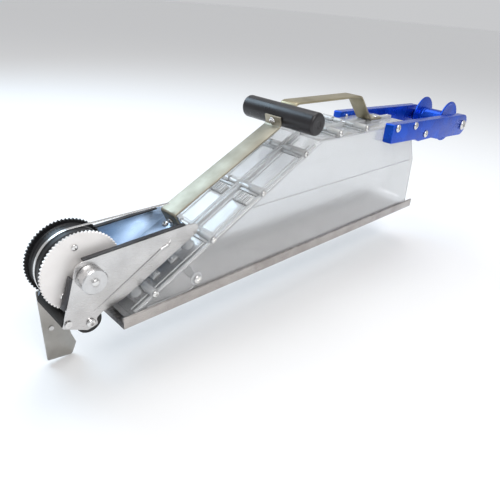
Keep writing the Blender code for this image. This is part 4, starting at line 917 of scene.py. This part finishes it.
for label, side in SIDES.items():
    wheel_part(f"wheel_collar_{label}_detail", drilled_ring(f"wheel_collar_{label}", side), ALUMINIUM,
               "aluminium",
               f"wheel_collar_{label}", smooth=40)
    wheel_part(f"wheel_knob_{label}_detail", knob_shape(f"wheel_knob_{label}", side), ALUMINIUM,
               "aluminium",
               f"wheel_knob_{label}", smooth=40)
axle_centre, axle_radius, axle_half = round_across("wheel_axle")
axle = ((0, axle_half), (axle_radius, axle_half), (axle_radius, -axle_half), (0, -axle_half))
wheel_part("wheel_axle_detail", lathe(axle, axle_centre, ACROSS_NEAR, 48), SCREW_STEEL, "screw_steel",
           "wheel_axle")
dome_low, dome_high = span("knob_screw")
dome_at = ((dome_low + dome_high) / 2) * (1, 0, 1) + (0, dome_high[1], 0)
dome = [(0.0045 * math.sin(a), 0.0022 * math.cos(a)) for a in np.linspace(0, math.pi / 2, 9)]
wheel_part("knob_screw_detail", lathe([*dome, (0, 0)], dome_at, ACROSS_NEAR, 40, 0.0001), SCREW_STEEL,
           "screw_steel",
           "knob_screw")
print("wheel made, teeth:", TEETH)

# %% [markdown]
# ## The small rollers
# Two rubber idlers press the tape's edges on their hubs, and a rubber roller crosses the front.

# %% Rollers
for label, side in SIDES.items():
    centre, radius, half = round_across(f"idler_wheel_{label}")
    profile = [(0.0036, half), (0.0085, half), (0.0090, half - 0.0010), (radius - 0.0030, half - 0.0010),
               (radius - 0.0015, half), (radius, half - 0.0015), (radius, 0.0008), (radius - 0.0006, 0.0),
               (radius, -0.0008), (radius, -half + 0.0015), (radius - 0.0015, -half), (0.0036, -half)]
    piece(f"idler_wheel_{label}_detail", ring_lathe(profile, centre, (0, side, 0), 64, 0.0006), RUBBER,
          f"idler_{label}", (f"idler_wheel_{label}",))
centre, radius, half = round_across("cross_roller")
grooves = [(radius - 0.0005 * (k % 2), half - 0.0002 - (2 * half - 0.0004) * k / 46) for k in range(47)]
piece("cross_roller_detail",
      ring_lathe([(0.0032, half), *grooves, (0.0032, -half)], centre, ACROSS_NEAR, 40, 0.0003),
      RUBBER, "front_roller", ("cross_roller",))

# %% [markdown]
# ## The head bracket
# The head is one sheet folded three ways: two cheeks, the web between them and narrow flanges
# turned in along the cheeks' free edges. A pressed bead stiffens the near cheek. Each leaf is its
# own plate here with worked edges, overlapping the next one at the fold.

# %% Head bracket
HALF_HEAD = float(span("head_bracket")[1][1])
SHEET = 0.002
STANDOFF = 0.0195
BEAD_SIDES = 16


def web_line(back, lift=0.0):
    """(x, z) on the underside of the web, or a lift over it."""
    return np.array((FRONT + back, slope_height(back) + (STANDOFF + lift) / ALONG[0]))


def cheek():
    """Side plate of the head, anticlockwise from its lower front corner."""
    top = 0.0975
    corners = [(FRONT - 0.065, 0.0225, 0.002), (FRONT - 0.037, 0.0085, 0.004),
               (FRONT - 0.024, 0.0115, 0.003),
               (FRONT - 0.025, 0.0205, 0.004), (FRONT - 0.017, 0.0255, 0.004), (*web_line(0.012), 0.010),
               (*web_line(0.119), 0.004), (FRONT + 0.1205, top + 0.004, 0.007),
               (FRONT + 0.104, top + 0.006, 0.004),
               (FRONT - 0.036, top, 0.004), (FRONT - 0.044, top - 0.005, 0.004)]
    return arc_corners(corners, 8)


def bead_ridge():
    """Pressed line on the near cheek: a flattened tube whose inner half lies in the sheet."""
    path = bent_path([(FRONT - 0.027, 0.0305, 0), (FRONT + 0.064, 0.0815, 0.012),
                      (FRONT + 0.0735, 0.0845, 0.006),
                      (FRONT + 0.078, 0.0900, 0)], 8)
    ahead = np.gradient(path, axis=0)
    ahead /= np.linalg.norm(ahead, axis=1)[:, None]
    side_way = np.stack((-ahead[:, 1], ahead[:, 0]), axis=1)
    taper = np.minimum(1.0, np.minimum(np.arange(len(path)), np.arange(len(path))[::-1]) * 0.45 + 0.35)
    t = np.linspace(0, math.tau, BEAD_SIDES + 1)[:-1]
    off = 0.0023 * taper[:, None, None] * np.cos(t)[None, :, None] * side_way[:, None, :]
    points = np.stack((path[:, None, 0] + off[..., 0],
                       -HALF_HEAD - 0.0001 - 0.00175 * taper[:, None] * np.sin(t)[None, :],
                       path[:, None, 1] + off[..., 1]), axis=-1)
    faces = [tuple(f) for f in grid_faces(len(path), BEAD_SIDES, wrap=True)]
    last = (len(path) - 1) * BEAD_SIDES
    faces += [tuple(range(BEAD_SIDES)), tuple(range(last, last + BEAD_SIDES))]
    return points, faces


for label, finish in (("near", STAINLESS), ("far", ZINC)):
    sheet_side = plate(cheek(), *across(SIDES[label], HALF_HEAD - SHEET, HALF_HEAD), 0.0005)
    piece(f"head_cheek_{label}", sheet_side, finish, "body", ("head_bracket",))
piece("head_bead", bead_ridge(), STAINLESS, "body", ("head_bracket",), 60)
web = strap(np.array((web_line(0.020, SHEET), web_line(0.118, SHEET))), 2 * HALF_HEAD - 0.001,
            SHEET - 0.0002, 0.0004)
tab_foot = web_line(0.1135, 0.001)
tab_head = tab_foot + NORMAL[[0, 2]] * 0.022
tab = strap(np.array((tab_head, tab_foot)), 0.030, SHEET, 0.0004)
front_line = np.array(((FRONT - 0.0474, 0.0800), (FRONT - 0.0595, 0.0440)))
top_line = np.array(((FRONT + 0.100, 0.1031), (FRONT - 0.0340, 0.0974)))
flanges = []
for side in SIDES.values():
    for line, reach in ((front_line, 0.009), (top_line, 0.006)):
        flanges.append(strap(line, reach, SHEET, 0.0004, side * (HALF_HEAD - reach / 2 - 0.0003)))
piece("head_web", together(web, tab), ZINC, "body", ("head_bracket",))
piece("head_flanges", together(*flanges), DARK_STEEL, "body", ("head_bracket",))

# %% [markdown]
# ## The fin
# A blade hangs from the far cheek to guide the tool along a corner. It is the dullest metal on the
# tool, with one corner cut, so it has its own finish.

# %% Fin
fin_low, fin_high = span("fin_blade")
fin = arc_corners([(FRONT - 0.0645, 0.036, 0.003), (FRONT - 0.0630, -0.0695, 0.002),
                   (FRONT - 0.0310, -0.0745, 0.004),
                   (FRONT - 0.0240, -0.0580, 0.003), (FRONT - 0.0290, -0.0430, 0.003),
                   (FRONT - 0.0375, 0.0050, 0.003), (FRONT - 0.0375, 0.036, 0.003)], 5)
piece("fin_blade_detail", plate(fin, float(fin_low[1]), float(fin_high[1]), 0.0005), BLADE_STEEL, "body",
      ("fin_blade",))
print("head made")

# %% [markdown]
# ## The slide-off tray
# The tray is folded from one sheet, so it is one cross-section carried the length of the box. Both
# sides roll over and turn down to hook on the feet of the box.

# %% Tray
tray_low, tray_high = span("base_tray")


def tray_section():
    """Closed outline of the folded sheet in (y, z), anticlockwise, with bends drawn as arcs."""
    half, height = float(tray_high[1]), float(tray_high[2])
    sheet, lip, low = 0.0015, 0.0036, height - 0.0068
    right = [(half, 0.0, 0.0022), (half, height, 0.0017), (half - lip, height, 0.0014),
             (half - lip, low, 0.0004),
             (half - sheet, low, 0.0), (half - sheet, sheet, 0.0008)]
    left = [(-y, z, r) for y, z, r in reversed(right)]
    return arc_corners(right + left, 6)


def carried(section, stations):
    """Section in (y, z) at a number of stations (x, inset), with flat ends."""
    out = outward(section)
    rows = section[None] - out[None] * stations[:, 1][:, None, None]
    x = np.broadcast_to(stations[:, 0][:, None], rows.shape[:2])
    points = np.stack((x, rows[..., 0], rows[..., 1]), axis=-1)
    count = len(section)
    faces = [tuple(f) for f in grid_faces(len(stations), count, wrap=True)]
    faces += [tuple(range(count)), tuple(range((len(stations) - 1) * count, len(stations) * count))]
    return points, faces


start, end = float(tray_low[0]), float(tray_high[0])
stations = np.array(((start, 0.0003), (start + 0.0003, 0.0), (end - 0.0003, 0.0), (end, 0.0003)))
piece("base_tray_detail", carried(tray_section(), stations), TRAY_STEEL, "tray", ("base_tray",))

# %% [markdown]
# ## Straps, handle and stripper
# Flat bar bent cold, so every bend is round. The front strap climbs over the slope to the T-grip,
# and the handle takes over behind it.

# %% Flat bar
BAR = 0.003
grip_centre, grip_radius, grip_half = round_across("t_grip")
foot_screw = read_screw("strap_screw", tuple(-ALONG))
foot_seat = (foot_screw["line"] + foot_screw["w"] * foot_screw["seat"])[[0, 2]] + ALONG[[0, 2]] * CLEAR


def by_grip(distance, lift=0.0):
    """(x, z) at a distance from the grip's axis along the grip bolt, and a lift square to it."""
    c, s = math.cos(GRIP_TILT), math.sin(GRIP_TILT)
    return np.array((grip_centre[0] + c * distance - s * lift, grip_centre[2] + s * distance + c * lift))


up = NORMAL[[0, 2]]
strap_corners = [(*(foot_seat - up * 0.0085), 0), (*(foot_seat + up * 0.0160), 0.0042),
                 (*by_grip(-grip_radius - CLEAR - BAR, -0.0055), 0.0055),
                 (*by_grip(-grip_radius - CLEAR - BAR, 0.0065), 0)]
piece("front_strap_detail", strap(bent_path(strap_corners, 8), 0.030, BAR, 0.0008), STRAP_STEEL, "body",
      ("front_strap",))
foot_z = float(span("carry_handle")[0][2])
handle_top = float(span("carry_handle")[1][2])
handle_corners = [(*by_grip(grip_radius + CLEAR, -0.009), 0), (*by_grip(grip_radius + CLEAR, 0.008), 0.008),
                  (by_grip(grip_radius + CLEAR, 0.008)[0] + 0.006, handle_top - BAR, 0.012),
                  (FRONT + 0.473, handle_top - BAR, 0.014), (FRONT + 0.515, foot_z, 0.006),
                  (FRONT + 0.550, foot_z, 0)]
handle_path = bent_path(handle_corners, 8)[::-1]
piece("carry_handle_detail", strap(handle_path, 0.030, BAR, 0.0008), HANDLE_STEEL, "body",
      ("carry_handle",))
strip_low, strip_high = span("tape_stripper")
strip_radius = drum_radius + 0.0012
tip = np.array((strip_high[0], strip_high[2]))
reach = tip - wheel_centre[[0, 2]]
touch = math.atan2(reach[1], reach[0]) + math.acos(strip_radius / np.linalg.norm(reach))
t = np.linspace(math.radians(212), touch, 60)
strip = np.stack((wheel_centre[0] + strip_radius * np.cos(t), wheel_centre[2] + strip_radius * np.sin(t)),
                 axis=1)
piece("tape_stripper_detail",
      strap(np.vstack((strip, tip)), float(strip_high[1] - strip_low[1]), 0.0006, 0.0002),
      SCREW_STEEL, "body", ("tape_stripper",), 60)

# %% [markdown]
# ## The T-grip
# A solid moulded bar with generous end rounds and a fine pebble.

# %% Grip
shoulder = [(grip_radius - 0.004 + 0.004 * math.cos(a), grip_half - 0.004 + 0.004 * math.sin(a))
            for a in np.linspace(math.pi / 2, 0, 9)]
grip_profile = [(0.0, grip_half - 0.0008), (0.0045, grip_half - 0.0008), (0.0055, grip_half), *shoulder]
grip_profile += [(r, -h) for r, h in reversed(grip_profile)]
piece("t_grip_detail", lathe(grip_profile, grip_centre, ACROSS_NEAR, 96, 0.0002), GRIP_PLASTIC, "body",
      ("t_grip",))

# %% [markdown]
# ## The blue yoke and the spool
# Two thick anodised arms bolt to the sides of the box and carry the spool. Each is cut from plate
# with softened edges that catch light. The spool turns on a fixed axle between them.

# %% Yoke and spool
YOKE_TOP, YOKE_HEIGHT = 0.191, 0.0335
spool_centre = (span("spool_axle")[0] + span("spool_axle")[1]) / 2


def arm_outline():
    """Bar pitched down two degrees, with a shallow belly, ending in an eye round the axle."""
    drop = math.tan(math.radians(2))
    eye = YOKE_HEIGHT * 0.62

    def edge(back, below):
        return FRONT + back, YOKE_TOP - below - (back - 0.512) * drop

    under = [(*edge(0.513, YOKE_HEIGHT), 0.003), (*edge(0.602, YOKE_HEIGHT), 0.004),
             (*edge(0.616, YOKE_HEIGHT + 0.0045), 0.004), (*edge(0.668, YOKE_HEIGHT + 0.0025), 0.006),
             (FRONT + 0.716, spool_centre[2] - eye - 0.001, 0.010)]
    rest = arc_corners(under + [(*edge(0.512, 0.0), 0.003)], 5)
    turn = np.radians(np.linspace(-90, 86, 25))
    eye_arc = np.stack((spool_centre[0] + eye * np.cos(turn), spool_centre[2] + eye * np.sin(turn)), axis=1)
    split = len(rest) - 6
    return np.concatenate((rest[:split], eye_arc, rest[split:]))


for label, side in SIDES.items():
    low, high = span(f"yoke_arm_{label}")
    piece(f"yoke_arm_{label}_detail", plate(arm_outline(), float(low[1]), float(high[1]), 0.0009), BLUE,
          "body",
          (f"yoke_arm_{label}",))
bar_centre, bar_radius, bar_half = round_across("yoke_spacer")
bar = [(0, bar_half), (bar_radius, bar_half), (bar_radius, bar_half - 0.010),
       (bar_radius - 0.0008, bar_half - 0.011),
       (bar_radius - 0.0008, -bar_half + 0.011), (bar_radius, -bar_half + 0.010), (bar_radius, -bar_half),
       (0, -bar_half)]
piece("yoke_spacer_detail", lathe(bar, bar_centre, ACROSS_NEAR, 48), BLUE, "body", ("yoke_spacer",))

core_centre, core_radius, core_half = round_across("spool_core")
flange_low, flange_high = span("spool_flange")
inner_face, flange = 0.0265, 0.003
core = [(0.0056, core_half), (0.011, core_half), (0.011, inner_face + 0.0002), (0.020, inner_face - 0.0006),
        (0.020, 0.0215), (0.0192, 0.0205), (0.0192, -0.0205), (0.020, -0.0215), (0.020, -inner_face),
        (core_radius - 0.001, -inner_face), (core_radius, -inner_face - 0.001),
        (core_radius, -inner_face - 0.002),
        (core_radius - 0.001, -inner_face - flange), (core_radius - 0.005, -inner_face - flange),
        (core_radius - 0.006, -inner_face - flange + 0.0006), (0.015, -inner_face - flange + 0.0006),
        (0.014, -inner_face - flange), (0.011, -inner_face - flange), (0.011, -core_half),
        (0.0056, -core_half)]
piece("spool_core_detail", ring_lathe(core, core_centre, ACROSS_NEAR, 96, 0.0004), BLUE, "spool",
      ("spool_core",))
near_face = -float(flange_high[1])
outer_face = -float(flange_low[1])
plate_profile = [(0.0113, outer_face), (0.014, outer_face), (0.015, outer_face - 0.0006),
                 (core_radius - 0.006, outer_face - 0.0006), (core_radius - 0.005, outer_face),
                 (core_radius - 0.001, outer_face), (core_radius, outer_face - 0.001),
                 (core_radius, near_face + 0.001),
                 (core_radius - 0.001, near_face), (0.0113, near_face)]
piece("spool_flange_detail", ring_lathe(plate_profile, core_centre * (1, 0, 1), ACROSS_NEAR, 96, 0.0004),
      BLUE, "spool",
      ("spool_flange",))
print("yoke and spool made")

# %% [markdown]
# ## Solids that keep their own shape
# The gate and the wiper are plain rubber sections and the seam's gasket is a clear one, so their
# solids stay and only take a finish.

# %% Carried-over solids
for name, finish in (("flow_gate", RUBBER), ("nose_wiper", RUBBER), ("seam_gasket", CLEAR_RIB)):
    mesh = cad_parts[name].data
    mesh.materials.clear()
    mesh.materials.append(finish)
